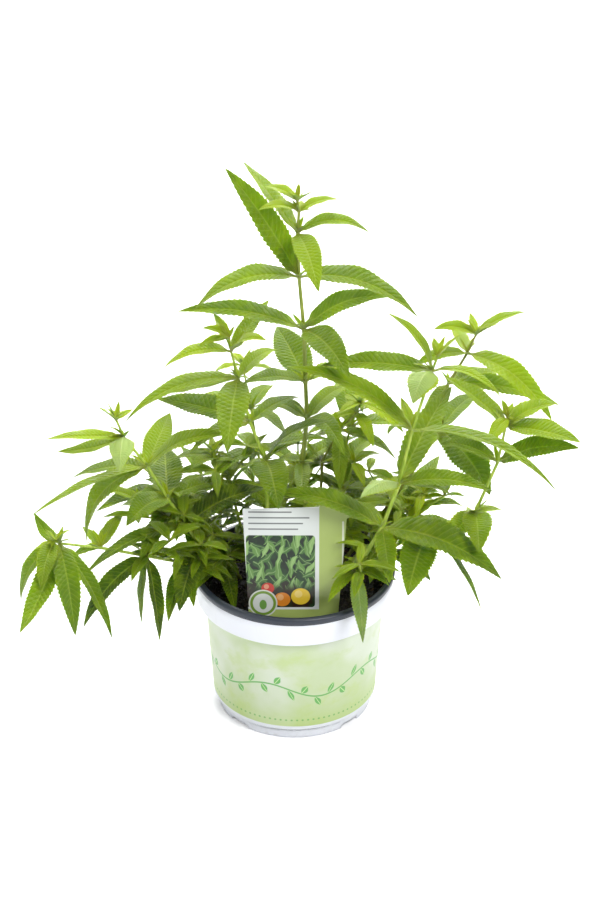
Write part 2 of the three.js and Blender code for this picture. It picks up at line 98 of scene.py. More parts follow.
class Field:
    """A number or vector that varies over a piece, so that a formula in nodes reads as arithmetic."""

    def __init__(self, tree, socket):
        self.tree = tree
        self.socket = socket

    def math(self, operation, *others):
        return live_node(self.tree, "ShaderNodeMath", (self, *others), operation=operation)

    def vector(self, operation, *others):
        return live_node(self.tree, "ShaderNodeVectorMath", (self, *others), operation=operation)

    __add__ = __radd__ = partialmethod(math, "ADD")
    __sub__ = partialmethod(math, "SUBTRACT")
    __mul__ = __rmul__ = partialmethod(math, "MULTIPLY")
    __truediv__ = partialmethod(math, "DIVIDE")
    __pow__ = partialmethod(math, "POWER")
    __gt__ = partialmethod(math, "GREATER_THAN")
    __lt__ = partialmethod(math, "LESS_THAN")
    __abs__ = partialmethod(math, "ABSOLUTE")
    most = partialmethod(math, "MAXIMUM")
    least = partialmethod(math, "MINIMUM")

    def __rsub__(self, other):
        return live_node(self.tree, "ShaderNodeMath", (other, self), operation="SUBTRACT")

    def rise(self, low, high):
        """0 below low, 1 above high and a smooth step between them."""
        kind = "ShaderNodeMapRange"
        return live_node(self.tree, kind, (self, low, high), interpolation_type="SMOOTHSTEP")

    def fall(self, low, high):
        return 1 - self.rise(low, high)


def distance(across, up):
    return (across * across + up * up).math("SQRT")


def split_vector(tree, socket):
    split = add_node(tree, "ShaderNodeSeparateXYZ", {0: socket})
    return [Field(tree, part) for part in split.outputs]


def object_place(tree):
    """The three Object coordinates as fields, in metres."""
    return split_vector(tree, add_node(tree, "ShaderNodeTexCoord").outputs["Object"])


def object_noise(tree, scale, detail=2.0, roughness=0.5, stretch=(1, 1, 1)):
    """Noise on the Object coordinates, scale in waves a metre."""
    place = add_node(tree, "ShaderNodeTexCoord").outputs["Object"]
    placed = add_node(tree, "ShaderNodeMapping", {"Vector": place, "Scale": stretch}).outputs["Vector"]
    plugs = {"Vector": placed, "Scale": scale, "Detail": detail, "Roughness": roughness}
    return Field(tree, add_node(tree, "ShaderNodeTexNoise", plugs).outputs["Fac"])


def camera_ray(tree):
    """1 for what the camera looks at, 0 for the light that the surface gives to others."""
    return Field(tree, add_node(tree, "ShaderNodeLightPath").outputs["Is Camera Ray"])


def mix_colors(share, low, high):
    return live_node(share.tree, "ShaderNodeMix", (share, low, high), data_type="RGBA")


def new_material(name):
    material = bpy.data.materials.new(name)
    material.use_nodes = True
    return material, material.node_tree


def dress(tree, color, roughness, relief, depth, more=None):
    """Fills in the Principled shader, with the relief as a bump of that depth in metres."""
    bump = add_node(tree, "ShaderNodeBump", {"Height": relief, "Distance": depth, "Strength": 1.0})
    plugs = {"Base Color": color, "Roughness": roughness, "Normal": bump.outputs["Normal"], **(more or {})}
    set_inputs(tree, tree.nodes["Principled BSDF"], plugs)


def new_object(name, data):
    made = bpy.data.objects.new(name, data)
    bpy.context.scene.collection.objects.link(made)
    return made


camera = new_object("camera", bpy.data.cameras.new("camera"))
back_and_up = Vector((0, -math.cos(CAMERA_ELEVATION), math.sin(CAMERA_ELEVATION)))
camera.location = CAMERA_AIM + CAMERA_DISTANCE * back_and_up
camera.rotation_euler = (math.pi / 2 - CAMERA_ELEVATION, 0, 0)
camera.data.lens = CAMERA_LENS
bpy.context.scene.camera = camera
bpy.context.scene.view_settings.view_transform = "Standard"

for name, box in SOFT_BOXES.items():
    light = bpy.data.lights.new(name, "AREA")
    light.shape = "DISK"
    light.size = box["size"]
    light.energy = box["watts"]
    lamp = new_object(name, light)
    lamp.location = box["place"]
    lamp.rotation_euler = (CAMERA_AIM - lamp.location).to_track_quat("-Z", "Y").to_euler()

world = bpy.data.worlds.new("pale room")
world.use_nodes = True
room = world.node_tree
set_inputs(room, room.nodes["Background"], {
    "Color": (0.97, 0.985, 1.0, 1),
    "Strength": ROOM_LIGHT + (ROOM_SEEN - ROOM_LIGHT) * camera_ray(room),
})
bpy.context.scene.world = world

bpy.ops.mesh.primitive_plane_add(size=TABLE_SIZE)
table = bpy.context.object
table.name = "white_table"
table_paint, tree = new_material("white table")
white = mix_colors(object_noise(tree, 1.5), (0.90, 0.905, 0.91, 1), (0.92, 0.922, 0.925, 1))
far = distance(*object_place(tree)[:2]).rise(*TABLE_FAR)
dress(tree, white, 0.6, object_noise(tree, 900, detail=3), 0.00002, {
    "Emission Color": mix_colors(camera_ray(tree), (0, 0, 0, 1), (1, 1, 1, 1)),
    "Emission Strength": TABLE_GLOW + (TABLE_GLOW_FAR - TABLE_GLOW) * far,
})
table.data.materials.append(table_paint)


# ---------------------------------------------------------------- pot
# One sheet of polypropylene, white outside and black inside, drawn to a tapered body with
# a collar; its rim is rolled outwards and a pale green band with a vine is printed round it.
MM = 0.001
POT_SIDES = 160
FLOOR_RADIUS = 44.7
BASE_RADIUS = 50.7
BODY_LOW = (53.6, 9.2)
BODY_TOP = (58, 78.6)
COLLAR_LOW = (63.5, 81)
COLLAR_TOP = (64.1, 95.6)
RIM_RADIUS = 65
RIM_INSIDE = 61
POT_HEIGHT = 100.5
POT_FLOOR = 4.4
ARCH_COUNT = 4
ARCH_HALF = 0.15
ARCH_SLOPE = 0.05
ARCH_HEIGHT = 4.2
ARCH_HEIGHT_INSIDE = 2.3
DRAIN_HOLES = 4
DRAIN_RADIUS = 3.5
DRAIN_CIRCLE = 26
VINE_LEAVES = 40
VINE_LEAVES_A_WAVE = 8
VINE_HEIGHT = 40
VINE_RADIUS = 55.5
DOTS = 96
DOTS_HEIGHT = 16.5
DOTS_RADIUS = 54
BAND_LOW = 11.4


def arc_points(centre, radius, start, end, steps):
    """Points on an arc in the radius and height plane, angles in degrees."""
    turns = [math.radians(start + (end - start) * i / steps) for i in range(steps + 1)]
    return [(centre[0] + radius * math.cos(t), centre[1] + radius * math.sin(t)) for t in turns]


def line_points(start, end, steps):
    """Evenly spaced points from start, which is left out, to end."""
    return [tuple(Vector(start).lerp(Vector(end), i / steps)) for i in range(1, steps + 1)]


def turned_mesh(name, profile, sides, shift):
    """A profile of (radius, height) from axis to axis, turned round Z.

    shift(angle, point) moves each point. A face's material index is the number of its ring.
    """
    mesh = bmesh.new()
    rings = []
    for radius, height in profile:
        row = []
        for i in range(1 if radius == 0 else sides):
            angle = 2 * math.pi * i / sides
            point = Vector((radius * math.sin(angle), -radius * math.cos(angle), height)) * MM
            row.append(mesh.verts.new(shift(angle, point)))
        rings.append(row)
    for ring, (low, high) in enumerate(zip(rings, rings[1:])):
        for i in range(sides):
            corners = [row[k % len(row)] for row, k in ((low, i), (low, i + 1), (high, i + 1), (high, i))]
            face = mesh.faces.new(list(dict.fromkeys(corners)))
            face.material_index = ring
            face.smooth = True
    bmesh.ops.recalc_face_normals(mesh, faces=mesh.faces)
    made = bpy.data.meshes.new(name)
    mesh.to_mesh(made)
    mesh.free()
    return made


def settle_piece(piece, node):
    """The piece rides on the plant's one body and stands for that CAD node."""
    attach(piece, "root")
    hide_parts(node)


def applied_mesh(piece):
    """The piece's mesh with its modifiers in it, and the modifiers gone."""
    graph = bpy.context.evaluated_depsgraph_get()
    mesh = bpy.data.meshes.new_from_object(piece.evaluated_get(graph), depsgraph=graph)
    piece.modifiers.clear()
    return mesh


def pot_profile():
    """The pot's section with the ring index where each finish starts."""
    section = [(0, 3), (20, 3), (36, 3), (FLOOR_RADIUS, 3), (FLOOR_RADIUS, 0.5), (FLOOR_RADIUS + 0.5, 0)]
    section += [(BASE_RADIUS - 0.6, 0), (BASE_RADIUS, 0.5)]
    section += line_points((BASE_RADIUS, 0.5), (BASE_RADIUS + 0.7, 7.2), 3)
    section += arc_points((BASE_RADIUS + 1.7, 7.2), 1, 180, 90, 3)
    section += arc_points((BODY_LOW[0] - 0.8, BODY_LOW[1]), 0.8, -70, 0, 3)
    band_start = len(section) - 1
    section += line_points(BODY_LOW, BODY_TOP, 12)
    band_end = len(section) - 1
    section += arc_points((BODY_TOP[0] + 1.2, BODY_TOP[1]), 1.2, 180, 90, 4)
    section += arc_points((COLLAR_LOW[0] - 0.8, COLLAR_LOW[1] - 0.2), 0.8, -80, 0, 4)
    section += line_points(COLLAR_LOW, COLLAR_TOP, 3)
    rim_start = len(section) - 1
    section += arc_points((RIM_RADIUS - 1.7, POT_HEIGHT - 2.9), 1.7, -75, 0, 5)
    section += arc_points((RIM_RADIUS - 1.8, POT_HEIGHT - 1.8), 1.8, 0, 90, 6)
    section += arc_points((RIM_INSIDE + 1.2, POT_HEIGHT - 1.2), 1.2, 90, 180, 4)
    section += [(RIM_INSIDE, 96), (RIM_INSIDE + 0.2, 90), (RIM_INSIDE + 0.2, 83)]
    section += arc_points((RIM_INSIDE - 1.0, 82), 1.2, 0, -90, 3)
    section += [(57.4, 79.6), (57, 78), (54.8, 44), (52.6, 9), (50.6, 5.6), (48.7, POT_FLOOR)]
    section += [(36, POT_FLOOR), (20, POT_FLOOR), (0, POT_FLOOR)]
    return section, band_start, band_end, rim_start


def raise_arches(angle, point):
    """Lifts the foot's lower edge over four arches, which let water out from under the pot."""
    turn = 2 * math.pi / ARCH_COUNT
    off = abs((angle % turn) - turn / 2)
    open_share = min(1, max(0, (ARCH_HALF - off) / ARCH_SLOPE))
    if point.z < 0.8 * MM and point.xy.length > 40 * MM:
        outer = point.xy.length > (BASE_RADIUS - 1) * MM
        point.z += open_share * (ARCH_HEIGHT if outer else ARCH_HEIGHT_INSIDE) * MM
    return point


def srgb(red, green, blue):
    """A colour given as it looks on a screen, 0 to 255, as the shader's linear one."""
    return (*[((c / 255 + 0.055) / 1.055) ** 2.4 if c > 10 else c / 3294 for c in (red, green, blue)], 1)


def paint_over(color, *layers):
    """The colour with layers over it, each given as (share, colour)."""
    for share, paint in layers:
        color = mix_colors(share, color, paint)
    return color


def white_plastic():
    material, tree = new_material("white polypropylene")
    height = object_place(tree)[2]
    cloud = object_noise(tree, 14, detail=3)
    scuff = object_noise(tree, 260, detail=4, stretch=(1, 1, 0.12)).rise(0.62, 0.8)
    dust = height.fall(0.0005, 0.006) * object_noise(tree, 320, detail=4).rise(0.45, 0.75)
    white = mix_colors(cloud, srgb(222, 225, 233), srgb(230, 232, 239))
    color = paint_over(white, (scuff * 0.25, srgb(205, 208, 214)), (dust * 0.25, srgb(150, 140, 126)))
    orange_peel = object_noise(tree, 420, detail=1) + object_noise(tree, 90, detail=1) * 2
    dress(tree, color, 0.3 + 0.12 * cloud + 0.15 * scuff, orange_peel, 0.00006, {
        "Subsurface Weight": 0.06, "Subsurface Scale": 0.002, "Subsurface Radius": (1, 1, 1),
    })
    return material


def printed_band():
    """Watercolour in pale greens, with a vine of plain leaves and a row of dots; millimetres on the pot."""
    material, tree = new_material("printed green band")
    x, y, z = object_place(tree)
    turn = x.math("ARCTAN2", y * -1) / (2 * math.pi) + 0.5
    height = z * 1000
    wash = object_noise(tree, 22, detail=3, roughness=0.55)
    patch = object_noise(tree, 46, detail=4, roughness=0.6, stretch=(1, 1, 1.4))
    cell = turn * VINE_LEAVES
    wave = (turn * (2 * math.pi * VINE_LEAVES / VINE_LEAVES_A_WAVE)).math("SINE")
    over = height - VINE_HEIGHT - wave * 5
    stalk = abs(over).fall(0.35, 0.75)
    across = (cell.math("FRACT") - 0.5) * (2 * math.pi * VINE_RADIUS / VINE_LEAVES)
    upward = (cell * 0.5).math("FRACT").math("LESS_THAN", 0.5) * 2 - 1
    up = over * upward
    along = up * 0.86 + across * 0.5 - 4.6
    beside = across * 0.86 - up * 0.5
    blade = (1 - (along / 4.2) ** 2).most(0) * 2.1
    leaf = (blade - abs(beside)).rise(0, 0.35)
    rib = abs(beside).fall(0.12, 0.3) * leaf
    dots_turn = ((turn * DOTS).math("FRACT") - 0.5) * (2 * math.pi * DOTS_RADIUS / DOTS)
    dots = distance(dots_turn, height - DOTS_HEIGHT).fall(0.55, 0.85)
    ink = srgb(104, 172, 92)
    color = paint_over(
        srgb(204, 213, 194),
        (wash.rise(0.36, 0.62), srgb(190, 205, 165)),
        (patch.rise(0.5, 0.72) * 0.6, srgb(182, 202, 128)),
        (height.fall(10, 34) * 0.6, srgb(178, 203, 108)),
        (stalk.most(leaf), ink),
        (rib, srgb(196, 222, 160)),
        (dots * 0.8, ink),
        (height.fall(BAND_LOW, BAND_LOW + 0.2), srgb(226, 229, 236)),
    )
    dress(tree, color, 0.42, object_noise(tree, 380, detail=1), 0.00005)
    return material


def black_plastic():
    material, tree = new_material("black polypropylene")
    cloud = object_noise(tree, 60, detail=4)
    peat_dust = object_noise(tree, 900, detail=3).rise(0.6, 0.72)
    black = mix_colors(cloud, srgb(34, 40, 50), srgb(52, 60, 72))
    color = paint_over(black, (peat_dust * 0.5, srgb(64, 52, 44)))
    dress(tree, color, 0.32 + 0.2 * cloud, object_noise(tree, 420, detail=1), 0.00006)
    return material


section, band_start, band_end, rim_start = pot_profile()
pot_mesh = turned_mesh("pot", section, POT_SIDES, raise_arches)
for face in pot_mesh.polygons:
    ring = face.material_index
    printed = band_start <= ring < band_end
    face.material_index = 2 if ring >= rim_start else int(printed)
for material in (white_plastic(), printed_band(), black_plastic()):
    pot_mesh.materials.append(material)
pot = new_object("nursery_pot", pot_mesh)

drills = bmesh.new()
for i in range(DRAIN_HOLES):
    turned = Matrix.Rotation(i * 2 * math.pi / DRAIN_HOLES, 4, "Z")
    bmesh.ops.create_cone(
        drills, cap_ends=True, segments=24, depth=0.006,
        radius1=DRAIN_RADIUS * MM, radius2=DRAIN_RADIUS * MM,
        matrix=turned @ Matrix.Translation((DRAIN_CIRCLE * MM, 0, 0.004)),
    )
drill_mesh = bpy.data.meshes.new("drills")
drills.to_mesh(drill_mesh)
drills.free()
drill_piece = new_object("drills", drill_mesh)
cut = pot.modifiers.new("drain holes", "BOOLEAN")
cut.operation = "DIFFERENCE"
cut.object = drill_piece
pot.data = applied_mesh(pot)
bpy.data.objects.remove(drill_piece)
settle_piece(pot, "pot")


# ---------------------------------------------------------------- soil
# Moist dark peat that fills the pot to 15 mm under the rim, pressed in round the stems;
# crumbs of peat and a few bits of brown bark lie loose on it.
SOIL_SIDES = 96
SOIL_RINGS = 26
SOIL_LEVEL = 86
SOIL_EDGE = 60.4
SOIL_LUMPS = ((0.06, 2.2), (0.19, 1.4), (0.45, 0.7))
GUTTER_START = 52
GUTTER_WIDTH = 9
GUTTER_DEPTH = 2.2
# Bits to the square metre, and their sizes in metres.
BARK_BITS = {"Density": 5200, "Smallest": 0.0007, "Largest": 0.0014, "Stretch": 2.2, "Seed": 4}
PEAT_CRUMBS = {"Density": 170000, "Smallest": 0.0005, "Largest": 0.0017, "Stretch": 1.2, "Seed": 9}


def soil_profile():
    section = [(0, 5), (48, 5), (52, 11), (56.4, 78)]
    section += [(SOIL_EDGE * (1 - i / SOIL_RINGS), SOIL_LEVEL) for i in range(SOIL_RINGS + 1)]
    return section


def lump_soil(angle, point):
    """Lumps of 1 to 8 mm on the top, wherever the angle, and a shallow gutter along the wall."""
    if point.z > (SOIL_LEVEL - 1) * MM:
        spot = point * 1000
        lump = sum(noise.noise(spot * waves) * height for waves, height in SOIL_LUMPS)
        gutter = max(0, (spot.xy.length - GUTTER_START) / GUTTER_WIDTH) * GUTTER_DEPTH
        point.z += (lump - gutter) * MM
    return point


def peat_material(name, dark, light):
    material, tree = new_material(name)
    clod = object_noise(tree, 160, detail=5, roughness=0.65)
    fibre = object_noise(tree, 900, detail=3, stretch=(1, 0.35, 1))
    strands = fibre.rise(0.66, 0.76) * 0.45
    color = paint_over(dark, (clod.rise(0.35, 0.75), light), (strands, srgb(92, 70, 50)))
    dress(tree, color, 0.72 + 0.25 * clod, clod * 1.5 + fibre, 0.0012)
    return material


def new_geometry_tree(name, inputs):
    """A Geometry Nodes tree with those named inputs, given as name: (socket type, default)."""
    tree = bpy.data.node_groups.new(name, "GeometryNodeTree")
    tree.interface.new_socket("Geometry", in_out="INPUT", socket_type="NodeSocketGeometry")
    for label, (kind, value) in inputs.items():
        socket = tree.interface.new_socket(label, in_out="INPUT", socket_type=kind)
        if value is not None:
            socket.default_value = value
    tree.interface.new_socket("Geometry", in_out="OUTPUT", socket_type="NodeSocketGeometry")
    start = add_node(tree, "NodeGroupInput")
    return tree, {socket.name: Field(tree, socket) for socket in start.outputs if socket.name}


def run_tree(piece, tree, values):
    """Puts the tree on the piece with those inputs, by the sockets' identifiers, and applies it."""
    modifier = piece.modifiers.new(tree.name, "NODES")
    sockets = {s.name: s.identifier for s in tree.interface.items_tree if s.in_out == "INPUT"}
    modifier.node_group = tree
    for name, value in values.items():
        modifier[sockets[name]] = value
    piece.data = applied_mesh(piece)


def shape_node(tree, kind, geometry, plugs=None, **settings):
    """What a node makes of the geometry, which goes into its first socket."""
    return Field(tree, add_node(tree, kind, {0: geometry, **(plugs or {})}, **settings).outputs[0])


def joined(tree, parts):
    everything = add_node(tree, "GeometryNodeJoinGeometry")
    for part in parts:
        plug(tree, everything.inputs[0], part)
    return Field(tree, everything.outputs[0])


def crumb_tree():
    """Scatters uneven crumbs over the faces that look up and sets them into the surface."""
    tree, given = new_geometry_tree("peat crumbs", {
        "Density": ("NodeSocketFloat", 1000.0),
        "Smallest": ("NodeSocketFloat", 0.0005),
        "Largest": ("NodeSocketFloat", 0.001),
        "Stretch": ("NodeSocketFloat", 1.0),
        "Seed": ("NodeSocketInt", 1),
        "Crumb": ("NodeSocketMaterial", None),
    })
    seed = {"Seed": given["Seed"]}
    facing = split_vector(tree, add_node(tree, "GeometryNodeInputNormal").outputs[0])[2]
    height = split_vector(tree, add_node(tree, "GeometryNodeInputPosition").outputs[0])[2]
    spread = shape_node(tree, "GeometryNodeDistributePointsOnFaces", given["Geometry"], {
        "Selection": (facing > 0.3) * (height > 0.08), "Density": given["Density"], **seed,
    })
    ball = add_node(tree, "GeometryNodeMeshIcoSphere", {"Radius": 1.0, "Subdivisions": 1})
    shape = add_node(tree, "ShaderNodeCombineXYZ", {"X": given["Stretch"], "Y": 1.0, "Z": 0.75})
    long_ball = shape_node(tree, "GeometryNodeTransform", ball.outputs["Mesh"], {"Scale": shape.outputs[0]})
    kind = "FunctionNodeRandomValue"
    turn = live_node(tree, kind, ((-0.5, -0.5, -3.1), (0.5, 0.5, 3.1)), seed, data_type="FLOAT_VECTOR")
    size = live_node(tree, kind, (given["Smallest"], given["Largest"]), seed, data_type="FLOAT")
    scatter = shape_node(tree, "GeometryNodeInstanceOnPoints", spread, {
        "Instance": long_ball, "Rotation": turn, "Scale": size,
    })
    real = shape_node(tree, "GeometryNodeRealizeInstances", scatter)
    rough = add_node(tree, "ShaderNodeTexNoise", {"Scale": 700.0, "Detail": 2.0}).outputs["Color"]
    push = Field(tree, rough).vector("SUBTRACT", (0.5, 0.5, 0.5)).vector("SCALE", 0.0016)
    rugged = shape_node(tree, "GeometryNodeSetPosition", real, {"Offset": push})
    coated = shape_node(tree, "GeometryNodeSetMaterial", rugged, {"Material": given["Crumb"]})
    add_node(tree, "NodeGroupOutput", {"Geometry": joined(tree, (given["Geometry"], coated))})
    return tree


soil_mesh = turned_mesh("soil", soil_profile(), SOIL_SIDES, lump_soil)
for face in soil_mesh.polygons:
    face.material_index = 0
soil_mesh.materials.append(peat_material("moist peat", srgb(14, 11, 10), srgb(36, 29, 25)))
crumb = peat_material("peat crumb", srgb(22, 17, 14), srgb(52, 40, 32))
bark = peat_material("bark bit", srgb(70, 48, 32), srgb(126, 92, 62))
soil = new_object("peat", soil_mesh)
crumbs = crumb_tree()
run_tree(soil, crumbs, {**BARK_BITS, "Crumb": bark})
run_tree(soil, crumbs, {**PEAT_CRUMBS, "Crumb": crumb})
settle_piece(soil, "soil")


# ---------------------------------------------------------------- plant label
# A printed card and its stake, punched as one from white plastic sheet and pushed into the
# peat: a pale green strip on the right, a picture panel, plain rules and a round badge.
LABEL_FOOT = Vector((-0.5, -43, 100))
LABEL_LEAN = math.radians(12)
LABEL_BOW = 0.6
LABEL_THICK = 0.8
STAKE_HALF = 8
STAKE_POINT = -38
SHOULDER = -12
CARD_HALF = 33
CARD_TOP = 62.5
STRIP_LEFT = 16
STRIP_TOP = 68
# left, right, low and high edge
PICTURE = (-29.5, 13.5, -3.6, 44)
EDGE_LINE = (30.2, 31.4, 2, 53)
BADGE_PLACE = (-19, -1)
BADGE_RADIUS = 9
RULE_LENGTHS = (31, 34, 38, 27)
RULE_LEFT = -28
RULE_LOW = 47.6
RULE_THICK = 0.9
RULE_STEP = 3.7


def rounded_outline(corners, steps=5):
    """Corners given as (x, h, radius): each is rounded by an arc of that radius."""
    outline = []
    for i, (x, h, radius) in enumerate(corners):
        here = Vector((x, h))
        back = (Vector(corners[i - 1][:2]) - here).normalized()
        ahead = (Vector(corners[(i + 1) % len(corners)][:2]) - here).normalized()
        half = back.angle(ahead) / 2
        reach = radius / math.tan(half)
        centre = here + (back + ahead).normalized() * (radius / math.sin(half))
        first = here + back * reach - centre
        last = here + ahead * reach - centre
        outline += [centre + first.slerp(last, k / steps, first) for k in range(steps + 1)]
    return outline


def label_outline():
    edge = CARD_HALF - 3
    return rounded_outline([
        (0, STAKE_POINT, 1), (STAKE_HALF, STAKE_POINT + 9, 2), (STAKE_HALF, SHOULDER, 1.5),
        (edge, SHOULDER + 2, 3), (CARD_HALF, STRIP_TOP - 13, 1), (CARD_HALF + 6, STRIP_TOP - 12, 2),
        (CARD_HALF + 6, STRIP_TOP, 3), (STRIP_LEFT, STRIP_TOP, 0.8), (STRIP_LEFT, CARD_TOP, 0.8),
        (-CARD_HALF, CARD_TOP, 2.5), (-edge, SHOULDER + 2, 3),
        (-STAKE_HALF, SHOULDER, 1.5), (-STAKE_HALF, STAKE_POINT + 9, 2),
    ])


def label_mesh():
    """The outline as a plate, bent a little and leaning back; its UV map holds millimetres over 100."""
    plate = bmesh.new()
    face = plate.faces.new([plate.verts.new((p.x, -LABEL_THICK / 2, p.y)) for p in label_outline()])
    bmesh.ops.recalc_face_normals(plate, faces=[face])
    if face.normal.y > 0:
        face.normal_flip()
    grown = bmesh.ops.extrude_face_region(plate, geom=[face], use_keep_orig=True)
    for corner in [v for v in grown["geom"] if isinstance(v, bmesh.types.BMVert)]:
        corner.co.y += LABEL_THICK
    bmesh.ops.recalc_face_normals(plate, faces=plate.faces)
    cuts = [((0, 0, low), (0, 0, 1)) for low in range(-35, 66, 5)]
    cuts += [((left, 0, 0), (1, 0, 0)) for left in range(-30, 36, 5)]
    for place, normal in cuts:
        everything = [*plate.verts, *plate.edges, *plate.faces]
        bmesh.ops.bisect_plane(plate, geom=everything, plane_co=place, plane_no=normal)
    card_map = plate.loops.layers.uv.new("card")
    for face in plate.faces:
        face.material_index = 0 if face.normal.y < -0.5 else 1
        for loop in face.loops:
            loop[card_map].uv = (loop.vert.co.x / 100, loop.vert.co.z / 100)
    for corner in plate.verts:
        corner.co.y += LABEL_BOW * (corner.co.x / CARD_HALF) ** 2
        corner.co = Matrix.Rotation(-LABEL_LEAN, 3, "X") @ corner.co
        corner.co = (corner.co + LABEL_FOOT) * MM
    made = bpy.data.meshes.new("label")
    plate.to_mesh(made)
    plate.free()
    return made


def card_place(tree):
    """Millimetres across and up the card."""
    card_map = add_node(tree, "ShaderNodeUVMap", uv_map="card")
    return [part * 100 for part in split_vector(tree, card_map.outputs["UV"])[:2]]


def rounded_panel(x, h, left, right, low, high, radius):
    """1 inside a rectangle with round corners."""
    off_x = (abs(x - (left + right) / 2) - ((right - left) / 2 - radius)).most(0)
    off_h = (abs(h - (low + high) / 2) - ((high - low) / 2 - radius)).most(0)
    return distance(off_x, off_h).fall(radius - 0.12, radius + 0.12)


def disc(x, h, centre_x, centre_h, radius, squash=1.0):
    return distance((x - centre_x) * squash, h - centre_h).fall(radius - 0.12, radius + 0.12)


def painted_sprigs(x, h, cell, slant, size):
    """Rows of pointed leaves in cells, turned by a slant: a plain leaf pattern for the picture."""
    across = x * math.cos(slant) + h * math.sin(slant)
    up = h * math.cos(slant) - x * math.sin(slant)
    row = (up / cell[1]).math("FLOOR")
    local_x = ((across / cell[0] + row * 0.37).math("FRACT") - 0.5) * cell[0]
    local_h = ((up / cell[1]).math("FRACT") - 0.5) * cell[1]
    blade = (1 - (local_h / size[1]) ** 2).most(0) * size[0]
    return (blade - abs(local_x)).rise(0, 0.4), abs(local_x).fall(0.1, 0.35)


def label_picture(tree, x, h):
    """Rows of leaves before a dark ground, and three plain round fruits."""
    ground = mix_colors(h.rise(0, 30), srgb(44, 26, 18), srgb(20, 36, 22))
    picture = mix_colors(object_noise(tree, 130, detail=3).rise(0.4, 0.65), ground, srgb(30, 58, 30))
    upper_part = h.rise(7, 15)
    leaf_x = x + (object_noise(tree, 60, detail=2) - 0.5) * 14
    leaf_h = h + (object_noise(tree, 52, detail=2) - 0.5) * 18
    for cell, slant, size, shade in (
        ((6, 12), 0.7, (1.7, 6), srgb(46, 78, 38)),
        ((7, 13), -0.8, (1.8, 6.2), srgb(66, 104, 48)),
        ((8, 15), 0.15, (1.9, 6.6), srgb(92, 130, 64)),
        ((10, 17), -0.35, (1.7, 6.8), srgb(128, 164, 96)),
    ):
        leaf, rib = painted_sprigs(leaf_x, leaf_h, cell, slant, size)
        vein = leaf * rib * upper_part * 0.5
        picture = paint_over(picture, (leaf * upper_part, shade), (vein, srgb(156, 186, 122)))
    for centre_x, centre_h, radius, shade in (
        (4.5, 3.6, 5.4, srgb(216, 184, 52)),
        (-7, 1.6, 4.6, srgb(204, 124, 38)),
        (-16, 9, 3.6, srgb(180, 46, 34)),
    ):
        fruit = disc(x, h, centre_x, centre_h, radius, 0.9)
        glow = disc(x, h, centre_x - radius * 0.25, centre_h + radius * 0.3, radius * 0.45)
        picture = paint_over(picture, (fruit, shade), (glow * 0.25, srgb(250, 240, 190)))
    return picture


def label_print():
    material, tree = new_material("printed label")
    x, h = card_place(tree)
    strip = x.rise(STRIP_LEFT - 0.1, STRIP_LEFT + 0.1).most(h.fall(-5.2, -4.9))
    green = mix_colors(object_noise(tree, 45, detail=3), srgb(146, 164, 82), srgb(164, 181, 104))
    layers = [
        (strip, green),
        (rounded_panel(x, h, *EDGE_LINE, 0.5) * 0.8, srgb(216, 220, 208)),
        (rounded_panel(x, h, *PICTURE, 2.2), label_picture(tree, x, h)),
    ]
    for i, length in enumerate(RULE_LENGTHS):
        low = RULE_LOW + RULE_STEP * i
        rule = rounded_panel(x, h, RULE_LEFT, RULE_LEFT + length, low, low + RULE_THICK, 0.4)
        layers.append((rule * 0.85, srgb(76, 80, 82)))
    leaf, rib = painted_sprigs(x - 27.5, h - 60, (40, 40), -0.5, (2.6, 7))
    mark = leaf * x.rise(18, 18.4) * h.rise(50, 50.4)
    layers += [(mark, srgb(72, 112, 44)), (mark * rib, srgb(160, 182, 104))]
    for inset, shade in ((0, srgb(200, 205, 192)), (0.9, srgb(108, 140, 52)), (2.6, srgb(204, 209, 202))):
        layers.append((disc(x, h, *BADGE_PLACE, BADGE_RADIUS - inset), shade))
    badge_leaf = disc(x, h, BADGE_PLACE[0], BADGE_PLACE[1] - 1, 3.2, 1.4)
    layers.append((badge_leaf, srgb(104, 148, 70)))
    color = paint_over(srgb(206, 211, 208), *layers)
    dress(tree, color, 0.28, object_noise(tree, 240, detail=1), 0.00004, {"Coat Weight": 0.12})
    return material


def label_plain():
    material, tree = new_material("white label back")
    cloud = object_noise(tree, 30, detail=3)
    color = mix_colors(cloud, srgb(228, 231, 230), srgb(240, 242, 242))
    dress(tree, color, 0.3 + 0.12 * cloud, object_noise(tree, 240, detail=1), 0.00004)
    return material


label = label_mesh()
label.materials.append(label_print())
label.materials.append(label_plain())
settle_piece(new_object("plant_label_card", label), "plant_label")


# ---------------------------------------------------------------- leafy stems
# Angular green stems from the crown of the plant, in the peat; at each node a whorl of
# narrow toothed leaves on short stalks, smaller and paler towards the growing tip.
LEAF_TEETH = {"small": 6, "middling": 12, "large": 24}
LONG_LEAF = 45
SHORT_LEAF = 24
VEINS = 19
VEIN_SLANT = 2.2
# The deep green stands partly for older leaves and partly for painted shade on the low leaves.
LEAF_SIDES = {
    "leaf upper side": {
        "deep_and_shaded": (52, 80, 2), "old": (114, 144, 2), "young": (172, 196, 22), "veins": (196, 210, 92),
        "roughness": 0.25, "relief": 2.2, "vein share": 0.3,
    },
    "leaf under side": {
        "deep_and_shaded": (100, 128, 50), "old": (140, 166, 76), "young": (170, 192, 98), "veins": (194, 210, 132),
        "roughness": 0.5, "relief": -1.2, "vein share": 0.35,
    },
}

